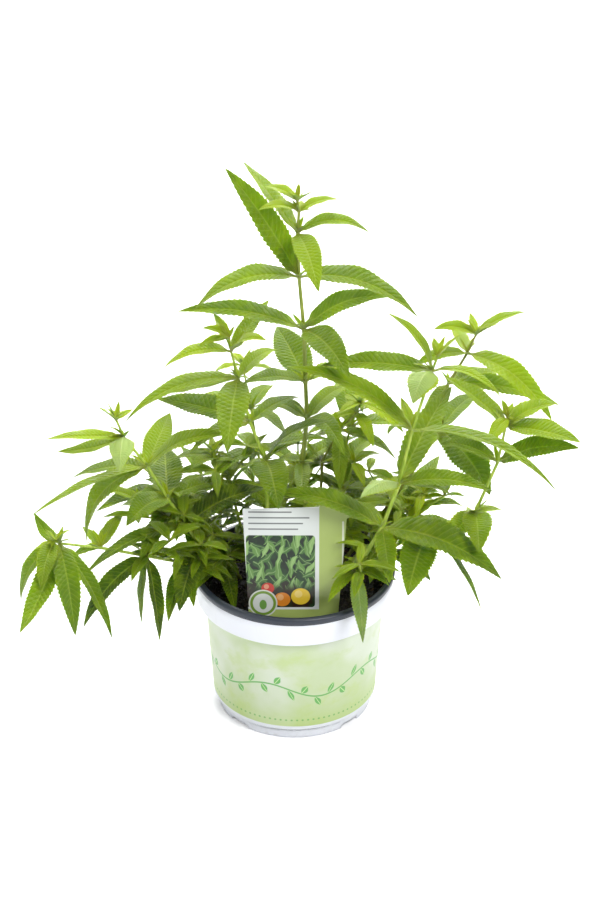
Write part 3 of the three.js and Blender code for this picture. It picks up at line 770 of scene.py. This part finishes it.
# points: a stem's nodes from the soil to the tip. whorls: for a node, its leaves, each
# [azimuth, rise, droop, length, width, roll]; one with a roll of 180 shows its pale under side.
# Nodes lower than bushy_below grow twigs too.
STEMS = [
    {
        "node": "stem_main", "radius": 1.9, "bark": 0.35, "bushy_below": 165,
        "points": [[9, 5, 86], [7, 6, 145], [5, 7, 172], [8, 8, 202], [7, 8, 228],
                   [6, 8, 264], [3, 8, 299], [2, 7, 328], [3, 6, 342], [2, 6, 349]],
        "whorls": {
            2: [[125, -10, 40, 50], [270, 15, 40, 44]],
            3: [[55, 30, 50, 50], [300, 35, 80, 60], [130, 15, 50, 50]],
            4: [[110, 25, 20, 56, 24], [220, 35, 35, 54, 14], [55, 25, 50, 44]],
            5: [[180, 28, 38, 82, 16], [10, 48, 60, 66, 16, 15], [300, 15, 50, 60, 21, 10]],
            6: [[190, 17, 62, 76, 18], [348, 15, 60, 87, 20], [192, 65, 12, 86, 19, -60]],
            7: [[0, 38, 75, 54, 12], [285, 5, 50, 56, 17], [125, 30, 10, 64, 15, 20]],
            8: [[200, 40, 60, 30], [20, 35, 50, 28], [75, 25, 20, 14]],
            9: [[305, 40, 10, 18], [140, 30, 50, 28], [115, 5, 10, 10]],
        },
    },
    {
        "node": "stem_inner_left", "radius": 1.5, "bushy_below": 165,
        "points": [[-13, -2, 86], [-17, -4, 143], [-18, -5, 180], [-27, -6, 207],
                   [-34, -8, 239], [-38, -8, 257], [-39, -8, 266]],
        "whorls": {
            2: [[280, 20, 55, 56, 23], [345, 60, 50, 62], [140, -25, 40, 42]],
            3: [[50, 20, 45, 48], [155, 12, 20, 66, 20], [220, 20, 50, 52]],
            4: [[195, 13, 58, 84, 14], [265, 0, 35, 66, 21], [150, -22, 5, 62], [55, 30, 50, 44]],
            5: [[190, 20, 60, 48], [320, 60, 60, 38], [70, 20, 15, 22], [60, 25, 10, 48]],
            6: [[120, 28, 10, 22], [175, 50, 60, 20], [190, 10, 40, 20]],
        },
    },
    {
        "node": "stem_left_front", "radius": 1.7, "bushy_below": 140,
        "points": [[-35, 6, 86], [-46, 3, 101], [-60, -3, 117], [-68, -9, 135],
                   [-79, -15, 158], [-90, -22, 185], [-103, -30, 210], [-107, -32, 223]],
        "whorls": {
            1: [[290, 0, 50, 48], [240, 15, 40, 40]],
            2: [[255, 0, 50, 56, 20], [230, 35, 40, 20], [75, 25, 40, 30]],
            3: [[15, 43, 45, 60, 22], [200, 5, 50, 80, 12], [50, -10, 50, 48]],
            4: [[235, 28, 55, 46, 20], [95, 15, 20, 58, 24], [145, 0, 45, 40], [40, 10, 35, 48]],
            5: [[215, 10, 30, 84, 11, 15], [214, 6, 90, 84, 18], [75, 25, 15, 48, 18],
                [345, 55, 50, 66], [150, -10, 25, 64]],
            6: [[270, 30, 70, 46, 17, 180], [210, 21, 14, 52, 10, -10], [160, -32, -20, 50]],
            7: [[230, 50, 10, 20], [105, 0, 10, 16], [50, 0, 20, 16]],
        },
    },
    {
        "node": "stem_left_low", "radius": 1.6, "bushy_below": 125,
        "points": [[-41, -8, 86], [-51, -9, 99], [-69, -12, 109], [-93, -18, 118],
                   [-121, -26, 129], [-146, -32, 136], [-149, -33, 138]],
        "whorls": {
            2: [[250, -10, 60, 46], [285, 20, 60, 40]],
            3: [[285, -25, 60, 62, 15, -45], [260, -35, 55, 48, 10, 45],
                [250, 15, 50, 28], [225, 0, 55, 68, 15]],
            4: [[70, 30, 40, 36], [175, 0, 50, 24], [125, 20, 20, 24], [80, 10, 30, 40]],
            5: [[285, -10, 60, 70], [258, -30, -30, 74, 17],
                [130, -10, -60, 34], [325, -36, 40, 72, 14, -20]],
            6: [[220, 5, 10, 14], [210, -25, 60, 50], [65, 10, 10, 12], [255, 0, 60, 40, 13]],
        },
    },
    {
        "node": "stem_right_front", "radius": 1.8, "bushy_below": 125,
        "points": [[41, -32, 86], [38, -38, 120], [54, -40, 152], [64, -38, 182],
                   [71, -36, 218], [82, -34, 257], [85, -34, 267]],
        "whorls": {
            1: [[275, 0, 55, 58, 11, 180], [245, 0, 40, 34], [310, 30, 45, 34], [20, 5, 20, 20]],
            2: [[340, 10, 50, 88, 26], [175, 40, 45, 78, 16, -8], [115, 10, 30, 44], [285, -5, 40, 40, 14]],
            3: [[230, 38, 55, 44, 16, 180], [355, 20, 45, 62], [10, 5, 50, 40], [60, 40, 25, 80, 20]],
            4: [[170, 50, 50, 94, 15, -15], [340, 15, 60, 108, 14, -20],
                [105, 35, 20, 26], [120, 0, 60, 36]],
            5: [[165, 8, 25, 70, 17], [245, 25, 80, 40, 20, 180],
                [150, 75, 60, 50, 10, 12], [335, 25, 70, 54, 9, -16]],
            6: [[345, 55, 10, 20], [70, 15, 10, 10], [115, 15, 10, 14]],
        },
    },
    {
        "node": "stem_right_front", "radius": 1.4, "branch": True, "bushy_below": 0,
        "points": [[54, -40, 152], [83, -36, 148], [112, -28, 156], [125, -22, 188],
                   [129, -20, 212], [130, -20, 218]],
        "whorls": {
            1: [[250, -5, 50, 52, 24], [315, -20, 40, 62, 10, -40]],
            2: [[35, 0, 30, 24], [270, 20, 60, 44, 20], [245, 45, 30, 20], [245, 15, 45, 34, 16]],
            3: [[330, 45, 40, 62, 16, 30], [145, 25, 50, 46]],
            4: [[5, 50, 50, 38, 15], [338, 4, 22, 52, 19], [140, 34, 25, 52, 19, 25]],
            5: [[70, 30, 10, 12], [130, 65, 10, 12], [235, 0, 40, 26, 10]],
        },
    },
    {
        "node": "stem_right_back", "radius": 1.6, "bark": 0.55, "bushy_below": 135,
        "points": [[31, 25, 86], [61, 26, 129], [93, 28, 184], [97, 30, 216],
                   [108, 30, 237], [113, 30, 250]],
        "whorls": {
            1: [[300, 0, 50, 50], [60, 10, 40, 50], [170, 20, 50, 50]],
            2: [[305, -5, 40, 60, 28], [240, 10, 30, 60], [60, 20, 40, 60]],
            3: [[350, 10, 35, 74, 16], [245, -5, 40, 50], [40, 5, 30, 50]],
            4: [[320, 8, 58, 80, 18], [100, 15, 30, 40], [200, 20, 50, 40]],
            5: [[175, 35, 60, 31, 10], [5, 45, 40, 36], [105, 40, 20, 18], [355, 40, 50, 18]],
        },
    },
    {
        "node": "stem_back_thin", "radius": 1.2, "bark": 0.5, "bushy_below": 110,
        "points": [[15, 30, 86], [18, 34, 158], [29, 36, 179], [40, 38, 191], [42, 38, 198]],
        "whorls": {
            2: [[15, -15, 40, 50], [145, -20, 40, 44], [270, -20, 50, 44]],
            3: [[165, -10, 40, 30], [290, 5, 50, 34]],
            4: [[320, 10, 50, 40], [235, 20, 30, 26], [115, -5, 20, 24], [65, 0, 20, 24]],
        },
    },
    {
        "node": "stem_left_small", "radius": 1.2, "bushy_below": 160,
        "points": [[-29, 24, 86], [-42, 22, 150], [-51, 22, 166], [-52, 22, 171]],
        "whorls": {
            1: [[200, 10, 40, 46], [320, 10, 40, 46], [90, 10, 40, 50]],
            2: [[245, 35, 40, 36], [45, -15, 40, 40], [140, 0, 40, 40]],
            3: [[230, 60, 20, 18], [65, 10, 20, 18], [95, 25, 10, 14]],
        },
    },
]

# Shoots that fill the back and the middle, by one rule: foot in the soil, azimuth it
# leans to, how far it reaches out, its height and its seed.
FILLERS = [
    {"node": "stem_back_left", "foot": (-17, 36), "lean": 125, "reach": 28, "height": 128, "seed": 3},
    {"node": "stem_back_right", "foot": (25, 38), "lean": 55, "reach": 28, "height": 110, "seed": 8},
    {"node": "stem_back_middle", "foot": (3, 38), "lean": 95, "reach": 9, "height": 78, "seed": 14},
    {"node": "stem_left_back", "foot": (-43, 20), "lean": 170, "reach": 56, "height": 70, "seed": 21},
    {"node": "stem_left_side", "foot": (-43, 6), "lean": 180, "reach": 56, "height": 58, "seed": 5},
    {"node": "stem_right_side", "foot": (51, 8), "lean": 20, "reach": 34, "height": 56, "seed": 34},
    {"node": "stem_inner_right", "foot": (21, 10), "lean": 40, "reach": 22, "height": 76, "seed": 55},
]
FILLER_NODES = 4
FILLER_RADIUS = 1.3
FILLER_LEAF = (34, 60)
FILLER_WIDTH = 0.3
FILLER_TIP_LEAF = 0.55
FILLER_BUSHY_BELOW = 140

# How a leaf of the solids lies: its tilt, and the steps in which it is turned aside.
FRONT_TILT = 18
BEND_STEP = 4
BEND_STEPS = 7
CAD_HALF_THICK = 0.35
FOUND_WITHIN = 0.03

STEM_DEPTH = 6
STEM_TAPER = 0.6
STEM_STEP = 2.5
# Share of the way to the next node, and how thick the stem is there.
STEM_SWELL = ((0.12, 0.98), (0.5, 0.93), (0.88, 0.9))
NODE_SWELL = 1.15
AXIL_LEAF = 7
AXIL_LEAF_LONGEST = 14
AXIL_LEAF_LONGEST_BUSHY = 22
AXIL_AGE = 0.1
TWIG_LENGTH = (14, 30)
TWIG_LEAF = (14, 30)
TWIG_RADIUS = 0.55
TWIG_AGE = 0.55
# Leaves are older near the soil, and painted shade darkens them there; both by less the further right they
# grow, where the key light falls.
OLDEST_AND_MOST_SHADED = 0.6
LESS_AGE_AND_SHADE_PER_MM = 0.005
RIGHT_END = 55
RIGHT_FADE = 45
RIGHT_LEAST = 0.15


def seeded_draw(seed):
    """Whole numbers between two limits, the same on every run."""
    state = seed

    def draw(low, high):
        nonlocal state
        state = (state * 1664525 + 1013904223) % 2**32
        return math.floor(low + (high - low) * state / 2**32 + 0.5)

    return draw


def filler_stem(filler):
    draw = seeded_draw(filler["seed"])
    lean = math.radians(filler["lean"])
    points = [[*filler["foot"], SOIL_LEVEL]]
    whorls = {}
    for i in range(1, FILLER_NODES + 1):
        t = i / FILLER_NODES
        out = filler["reach"] * t**1.3
        x = filler["foot"][0] + out * math.cos(lean)
        y = filler["foot"][1] + out * math.sin(lean)
        points.append([x, y, SOIL_LEVEL + filler["height"] * t**0.85])
        swing = draw(-20, 20)
        whorls[i] = []
        for k in range(3):
            azimuth = filler["lean"] + 60 * i + 120 * k + swing
            length = draw(*FILLER_LEAF) * (FILLER_TIP_LEAF if i == FILLER_NODES else 1)
            rise = draw(0, 40)
            whorls[i].append([azimuth, rise, draw(30, 60), length, FILLER_WIDTH * length])
    return {
        "node": filler["node"], "radius": FILLER_RADIUS, "filler": True, "bushy_below": FILLER_BUSHY_BELOW,
        "points": points, "whorls": whorls,
    }


def direction(azimuth, rise):
    a, e = math.radians(azimuth), math.radians(rise)
    return Vector((math.cos(a) * math.cos(e), math.sin(a) * math.cos(e), math.sin(e)))


def leaf_frame(root, azimuth, rise, droop, length, tilt, roll=0):
    """The midrib's root, elbow and tip, and the direction across the blade, in millimetres."""
    elbow = root + direction(azimuth, rise) * length / 2
    tip = elbow + direction(azimuth, rise - droop) * length / 2
    a = math.radians(azimuth)
    level = Vector((math.sin(a), -math.cos(a), -math.cos(a) * math.tan(math.radians(tilt)))).normalized()
    across = Matrix.Rotation(math.radians(roll), 3, direction(azimuth, rise - droop / 2)) @ level
    return {"root": root, "elbow": elbow, "tip": tip, "across": across, "length": length}


def bend_turns():
    """Turns aside in azimuth and rise, in rings of whole steps, nearest first."""
    turns = []
    for ring in range(BEND_STEPS + 1):
        span = range(-ring, ring + 1)
        turns += [(i * BEND_STEP, j * BEND_STEP) for i in span for j in span if max(abs(i), abs(j)) == ring]
    return turns


def grown_leaf(corners, root, leaf, tilt):
    """The leaf as it stands in the frame, where its solid's tip shows how it was turned aside."""
    azimuth, rise, droop, length = leaf[:4]
    width = leaf[4] if len(leaf) > 4 else 0.2 * length + 2.5
    roll = leaf[5] if len(leaf) > 5 else 0
    for turn, lift in bend_turns():
        found = leaf_frame(root, azimuth + turn, rise + lift, droop, length, tilt, roll)
        along = (found["tip"] - found["elbow"]).normalized()
        up = found["across"].cross(along).normalized() * CAD_HALF_THICK
        gaps = [corners.find((found["tip"] + side * up) * MM)[2] for side in (1, -1)]
        if max(gaps) < FOUND_WITHIN * MM:
            return {**found, "width": width}
    return None


def corner_tree(node):
    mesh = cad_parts[node].data
    corners = KDTree(len(mesh.vertices))
    for i, vertex in enumerate(mesh.vertices):
        corners.insert(vertex.co, i)
    corners.balance()
    return corners


def stem_points(stem):
    """Places and radii along a stem: a little thicker at each node, thinning towards the tip."""
    nodes = [Vector(p) for p in stem["points"]]
    if not stem.get("branch"):
        nodes.insert(0, nodes[0] - Vector((0, 0, STEM_DEPTH)))
    steps = len(nodes) - 1
    places = []
    for i, node in enumerate(nodes):
        radius = stem["radius"] * (1 - STEM_TAPER * i / steps)
        places.append((node, radius * NODE_SWELL))
        if i < steps:
            places += [(node.lerp(nodes[i + 1], share), radius * swell) for share, swell in STEM_SWELL]
    return places


def axil_leaves(stem, draw):
    """Small leaves in the axils of each whorl, larger where the bush is dense, too fine for the solids."""
    found = []
    for place, leaves in stem["whorls"].items():
        root = Vector(stem["points"][place])
        longest = AXIL_LEAF_LONGEST_BUSHY if root.z < stem["bushy_below"] else AXIL_LEAF_LONGEST
        for leaf in leaves[:3]:
            for side in (-1, 1):
                azimuth = leaf[0] + side * draw(22, 60)
                length = draw(AXIL_LEAF * 10, longest * 10) / 10
                small = leaf_frame(root, azimuth, draw(35, 75), draw(10, 50), length, 0)
                found.append({**small, "width": 0.22 * length + 0.6, "age_and_shade": AXIL_AGE})
    return found


def low_age_and_shade(place):
    """What a leaf's age gains near the soil, where leaves are older and deeper green and painted shade
    darkens them; less on the right, where the key light falls.
    """
    shaded = min(1, max(RIGHT_LEAST, (RIGHT_END - place.x) / RIGHT_FADE))
    return shaded * max(0, OLDEST_AND_MOST_SHADED - LESS_AGE_AND_SHADE_PER_MM * (place.z - SOIL_LEVEL))


def twig(root, azimuth, rise, length, draw):
    """A short side shoot: its line, and whorls of small leaves half way up and at its end."""
    middle = root + direction(azimuth, rise) * length / 2
    end = middle + direction(azimuth + draw(-20, 20), rise + draw(5, 30)) * length / 2
    # Twig leaves near the soil take painted shade along with their age.
    age_and_shade = TWIG_AGE + low_age_and_shade(root)
    leaves = []
    for place, turn, count in ((middle, 0, 2), (end, 60, 3)):
        for k in range(count):
            size = draw(*TWIG_LEAF)
            away = azimuth + turn + 360 * k / count + draw(-25, 25)
            leaf = leaf_frame(place, away, draw(-5, 45), draw(20, 60), size, draw(0, 15))
            leaves.append({**leaf, "width": 0.3 * size, "age_and_shade": age_and_shade})
    return [root, middle, end], leaves


def side_twigs(stem, draw):
    """Two or three twigs at each node in the dense lower part of the bush."""
    found = []
    for place, leaves in stem["whorls"].items():
        root = Vector(stem["points"][place])
        if root.z < stem["bushy_below"]:
            for leaf in leaves[:3]:
                found.append(twig(root, leaf[0] + draw(35, 75), draw(5, 50), draw(*TWIG_LENGTH), draw))
    return found


def whorl_leaves(stem, corners):
    """The rows of a stem's own leaves, older the longer they are and the lower they grow, and darker with
    painted shade near the soil.
    """
    tilt = 0 if stem.get("filler") else FRONT_TILT
    last = len(stem["points"]) - 1
    found = []
    for place, leaves in stem["whorls"].items():
        root = Vector(stem["points"][place])
        for grown in [grown_leaf(corners, root, leaf, tilt) for leaf in leaves]:
            if grown:
                length = grown["length"]
                # Near the soil, and most on the left, this age value also carries painted shade.
                age_and_shade = min(1, length / 60) * (1 - 0.55 * (place / last) ** 2) + low_age_and_shade(root)
                size = 1 + (length > SHORT_LEAF) + (length > LONG_LEAF)
                found.append({**grown, "at": root, "size": size, "age_and_shade": age_and_shade})
    return found


def shoot_points(stems, corners, seed):
    """One mesh of a shoot's stem lines and leaf roots, with all that the tree needs as attributes."""
    draw = seeded_draw(seed)
    rows = []
    edges = []
    for stem in stems:
        start = len(rows)
        bark = stem.get("bark", 0.0)
        rows += [{"at": place, "radius": radius, "bark": bark} for place, radius in stem_points(stem)]
        edges += [(i, i + 1) for i in range(start, len(rows) - 1)]
        rows += whorl_leaves(stem, corners)
        small_leaves = axil_leaves(stem, draw)
        for line, leaves in side_twigs(stem, draw):
            edges += [(len(rows), len(rows) + 1), (len(rows) + 1, len(rows) + 2)]
            rows += [{"at": place, "radius": TWIG_RADIUS} for place in line]
            small_leaves += leaves
        rows += [{**leaf, "at": leaf["root"], "size": 1} for leaf in small_leaves]
    for row in rows:
        row["tint"] = draw(0, 1000) / 1000
    mesh = bpy.data.meshes.new("shoot points")
    mesh.from_pydata([tuple(row["at"] * MM) for row in rows], edges, [])
    for name, unit in (("root", MM), ("elbow", MM), ("tip", MM), ("across", 1)):
        values = [c for row in rows for c in Vector(row.get(name, (0, 0, 0))) * unit]
        mesh.attributes.new(name, "FLOAT_VECTOR", "POINT").data.foreach_set("vector", values)
    units = {"radius": MM, "length": MM, "width": MM, "size": 1, "age_and_shade": 1, "bark": 1, "tint": 1}
    for name, unit in units.items():
        values = [row.get(name, 0) * unit for row in rows]
        mesh.attributes.new(name, "FLOAT", "POINT").data.foreach_set("value", values)
    return mesh


def named_field(tree, name, data_type="FLOAT"):
    return live_node(tree, "GeometryNodeInputNamedAttribute", (name,), data_type=data_type)


def add_scaled(total, *terms):
    """The vector with others added to it, each given as (vector, factor)."""
    for vector, factor in terms:
        total = total.vector("ADD", vector.vector("SCALE", factor))
    return total


def vein_saw(along, out):
    """0 to 1 from each side vein to the next, on both halves of a blade."""
    return (along * VEINS - out * VEIN_SLANT).math("FRACT")


def blade_tube(tree, stations, around):
    """A closed tube that holds, for each corner, how far it is along and across a blade, and its face."""
    tube = add_node(tree, "GeometryNodeMeshCylinder", {
        "Vertices": around, "Side Segments": stations, "Radius": 1.0, "Depth": 1.0,
    }, fill_type="TRIANGLE_FAN")
    x, y, z = split_vector(tree, add_node(tree, "GeometryNodeInputPosition").outputs[0])
    even = abs(y.math("ARCTAN2", x)) * (2 / math.pi) - 1
    spaced = abs(even) * abs(even) * (3 - 2 * abs(even)) * even.math("SIGN")
    kept = Field(tree, tube.outputs["Mesh"])
    for name, value in (("along", z + 0.5), ("side_to_side", spaced), ("face_side", y.math("SIGN"))):
        store = add_node(
            tree, "GeometryNodeStoreNamedAttribute", {"Geometry": kept, "Name": name},
            data_type="FLOAT", domain="POINT",
        )
        plug(tree, next(s for s in store.inputs if s.name == "Value" and s.enabled), value)
        kept = Field(tree, store.outputs["Geometry"])
    return kept


def blade_nodes(tree, given, points, stations, around, teeth):
    """Leaves on points: a closed tube for each, flattened to a toothed blade along its drooping rib."""
    tube = blade_tube(tree, stations, around)
    tubes = shape_node(tree, "GeometryNodeInstanceOnPoints", points, {"Instance": tube})
    real = shape_node(tree, "GeometryNodeRealizeInstances", tubes)

    names = ("along", "side_to_side", "face_side", "width", "length", "tint")
    u, v, face_side, width, length, tint = [named_field(tree, name) for name in names]
    names = ("root", "elbow", "tip", "across")
    root, elbow, tip, flat = [named_field(tree, name, "FLOAT_VECTOR") for name in names]
    rest = 1 - u
    rib = add_scaled(root.vector("SCALE", rest * rest), (elbow, u * rest * 2), (tip, u * u))
    heading = elbow.vector("SUBTRACT", root).vector("SCALE", rest)
    heading = add_scaled(heading, (tip.vector("SUBTRACT", elbow), u))
    up = flat.vector("CROSS_PRODUCT", heading).vector("NORMALIZE")
    twist = (tint - 0.5) * given["Twist"] * u
    sine = twist.math("SINE")
    cosine = twist.math("COSINE")
    across = add_scaled(flat.vector("SCALE", cosine), (up, sine))
    lift_way = add_scaled(up.vector("SCALE", cosine), (flat, sine * -1))

    share = ((u ** 0.8) * math.pi).math("SINE").most(0) ** 0.88 * (0.25 + 0.75 * u.rise(0.01, 0.14))
    stalk = 0.0006 * (1 - 0.8 * u) + length * 0.002
    half = (width * 0.5 * share).most(stalk * (0.22 + 0.78 * rest))
    tooth = (u * teeth + tint * 0.2).math("FRACT")
    notch = given["Tooth depth"] * (1 - tooth) * u.rise(0.1, 0.22) * u.fall(0.93, 0.99)
    out = abs(v)
    vein = abs(vein_saw(u, out) - 0.5) * 2
    quilt = (vein * vein - 0.4) * out * (1 - out) * 4 * given["Quilting"] * half
    wave = (u * 17 + tint * 40).math("SINE") * out * out * half * given["Waviness"]
    lift = half * given["Fold"] * (1.2 * out - 0.2 * out * out * out) + wave - quilt
    groove = out.fall(0, 0.2) * u.fall(0.6, 1) * given["Blade thickness"] * 0.7
    skin = (1 - out ** 6).most(0).math("SQRT") * given["Blade thickness"] * 0.5
    stem_part = u.fall(0.02, 0.14)
    skin = skin * (1 - stem_part) + stalk * (1 - v * v).most(0).math("SQRT") * stem_part
    lift = lift + skin * face_side - groove
    place = add_scaled(rib, (across, v * half * (1 - notch * out ** 6)), (lift_way, lift))
    formed = shape_node(tree, "GeometryNodeSetPosition", real, {"Position": place})
    smooth = shape_node(tree, "GeometryNodeSetShadeSmooth", formed, {"Shade Smooth": True})
    crisp = {"Selection": out > 0.999, "Shade Smooth": False}
    return shape_node(tree, "GeometryNodeSetShadeSmooth", smooth, crisp, domain="EDGE")


def stem_nodes(tree, given, lines):
    """Round stems along the lines, as thick as the attribute radius says."""
    radius = named_field(tree, "radius")
    circle = add_node(tree, "GeometryNodeCurvePrimitiveCircle", {
        "Resolution": given["Stem sides"], "Radius": 1.0,
    })
    line = shape_node(tree, "GeometryNodeMeshToCurve", lines)
    curve = shape_node(tree, "GeometryNodeCurveSplineType", line, spline_type="CATMULL_ROM")
    even = shape_node(tree, "GeometryNodeResampleCurve", curve, {"Length": STEM_STEP * MM}, mode="LENGTH")
    sized = shape_node(tree, "GeometryNodeSetCurveRadius", even, {"Radius": radius})
    tube = shape_node(tree, "GeometryNodeCurveToMesh", sized, {
        "Profile Curve": circle.outputs["Curve"], "Fill Caps": True, "Scale": radius,
    })
    return shape_node(tree, "GeometryNodeSetShadeSmooth", tube, {"Shade Smooth": True})


def shoot_tree(upper, under, stem_skin):
    tree, given = new_geometry_tree("leafy shoot", {
        "Large stations": ("NodeSocketInt", 96),
        "Large around": ("NodeSocketInt", 16),
        "Middling stations": ("NodeSocketInt", 48),
        "Middling around": ("NodeSocketInt", 12),
        "Small stations": ("NodeSocketInt", 12),
        "Small around": ("NodeSocketInt", 8),
        "Blade thickness": ("NodeSocketFloat", 0.0004),
        "Tooth depth": ("NodeSocketFloat", 0.16),
        "Fold": ("NodeSocketFloat", 0.26),
        "Waviness": ("NodeSocketFloat", 0.06),
        "Quilting": ("NodeSocketFloat", 0.06),
        "Twist": ("NodeSocketFloat", 0.5),
        "Stem sides": ("NodeSocketInt", 12),
    })
    size = named_field(tree, "size")
    lines, *leaf_points = [
        shape_node(
            tree, "GeometryNodeSeparateGeometry", given["Geometry"],
            {"Selection": size.math("COMPARE", kind, 0.1)}, domain="POINT",
        )
        for kind in range(1 + len(LEAF_TEETH))
    ]
    parts = [stem_nodes(tree, given, lines)]
    for points, (kind, teeth) in zip(leaf_points, LEAF_TEETH.items()):
        stations = given[f"{kind.capitalize()} stations"]
        around = given[f"{kind.capitalize()} around"]
        parts.append(blade_nodes(tree, given, points, stations, around, teeth))
    finished = shape_node(tree, "GeometryNodeRealizeInstances", joined(tree, parts))
    face_side = named_field(tree, "face_side")
    for material, chosen in (
        (upper, face_side > -0.01),
        (under, face_side < -0.01),
        (stem_skin, named_field(tree, "length") < 0.0001),
    ):
        plugs = {"Selection": chosen, "Material": material}
        finished = shape_node(tree, "GeometryNodeSetMaterial", finished, plugs)
    add_node(tree, "NodeGroupOutput", {"Geometry": finished})
    return tree


def vein_group():
    """Midrib, side veins and the quilted relief between them, from the places along and across a blade."""
    group = bpy.data.node_groups.new("leaf veins", "ShaderNodeTree")
    for name in ("Along", "Across"):
        group.interface.new_socket(name, in_out="INPUT", socket_type="NodeSocketFloat")
    for name in ("Midrib", "Side veins", "Relief"):
        group.interface.new_socket(name, in_out="OUTPUT", socket_type="NodeSocketFloat")
    start = add_node(group, "NodeGroupInput")
    u, v = [Field(group, start.outputs[name]) for name in ("Along", "Across")]
    out = abs(v)
    midrib = out.fall(0.01, 0.06 + 0.05 * (1 - u))
    saw = vein_saw(u, out)
    gap = saw.least(1 - saw)
    side_veins = gap.fall(0.0, 0.13 - 0.06 * out) * out.fall(0.86, 1.0)
    net = add_node(group, "ShaderNodeTexVoronoi", {"Scale": 1100.0}, feature="DISTANCE_TO_EDGE")
    mesh_lines = Field(group, net.outputs["Distance"]).rise(0.0, 0.25)
    pillow = (gap * 2).rise(0.0, 0.8)
    relief = pillow * (1 - 0.4 * out) + mesh_lines * 0.28 - midrib * 0.7
    add_node(group, "NodeGroupOutput", {"Midrib": midrib, "Side veins": side_veins, "Relief": relief})
    return group


def read_attribute(tree, name):
    return Field(tree, add_node(tree, "ShaderNodeAttribute", attribute_name=name).outputs["Fac"])


def leaf_material(name, side, veins):
    """A face of the leaves: young and pale, old or deep green by age, deep green also as painted shade on
    the low leaves, with paler veins and stalk.
    """
    material, tree = new_material(name)
    deep_and_shaded, old, young, vein_color = [srgb(*side[key]) for key in ("deep_and_shaded", "old", "young", "veins")]
    along, across, tint, age_and_shade = [read_attribute(tree, n) for n in ("along", "side_to_side", "tint", "age_and_shade")]
    drawn = add_node(tree, "ShaderNodeGroup", {"Along": along, "Across": across}, node_tree=veins)
    midrib, side_veins, height = [Field(tree, drawn.outputs[n]) for n in ("Midrib", "Side veins", "Relief")]
    mottle = object_noise(tree, 95, detail=3)
    color = paint_over(
        young,
        ((age_and_shade + (tint - 0.5) * 0.5).rise(0.05, 1.0), old),
        # Painted shade: the deep green darkens leaves low in the bush, mostly on the left, as well as old
        # ones.
        ((age_and_shade + (tint - 0.5) * 0.3).rise(0.92, 1.5), deep_and_shaded),
        (mottle.rise(0.42, 0.7) * 0.35, young),
        ((1 - along).rise(0.8, 1.0) * 0.5, vein_color),
        (side_veins * side["vein share"], vein_color),
        (midrib * (side["vein share"] + 0.2), vein_color),
    )
    relief = height * side["relief"] + object_noise(tree, 1600, detail=2) * 0.12
    dress(tree, color, side["roughness"] + 0.1 * mottle, relief, 0.0006, {
        "Subsurface Weight": 0.7, "Subsurface Scale": 0.001, "Subsurface Radius": (0.8, 1.1, 0.1),
        "Specular IOR Level": 0.7,
    })
    return material


def stem_material():
    material, tree = new_material("green stem")
    height = object_place(tree)[2]
    bark = read_attribute(tree, "bark")
    streak = object_noise(tree, 700, detail=3, stretch=(1, 1, 0.08))
    stripes = streak.rise(0.35, 0.7)
    green = mix_colors(stripes, srgb(138, 168, 44), srgb(182, 200, 84))
    brown = mix_colors(stripes, srgb(84, 58, 44), srgb(126, 104, 74))
    color = mix_colors(bark.most(height.fall(0.086, 0.12) * 0.55), green, brown)
    dress(tree, color, 0.45 + 0.2 * streak, streak, 0.0004, {
        "Subsurface Weight": 0.1, "Subsurface Scale": 0.001, "Subsurface Radius": (1, 1, 0.4),
    })
    return material


veins = vein_group()
upper, under = [leaf_material(name, side, veins) for name, side in LEAF_SIDES.items()]
grow = shoot_tree(upper, under, stem_material())
shoots = {}
for stem in [*STEMS, *[filler_stem(filler) for filler in FILLERS]]:
    shoots.setdefault(stem["node"], []).append(stem)
for number, (node, stems) in enumerate(shoots.items(), start=1):
    points = shoot_points(stems, corner_tree(node), number)
    shoot = new_object(node.replace("stem", "leafy_shoot"), points)
    run_tree(shoot, grow, {})
    for name in ("root", "elbow", "tip", "across", "radius", "size"):
        if name in shoot.data.attributes:
            shoot.data.attributes.remove(shoot.data.attributes[name])
    settle_piece(shoot, node)
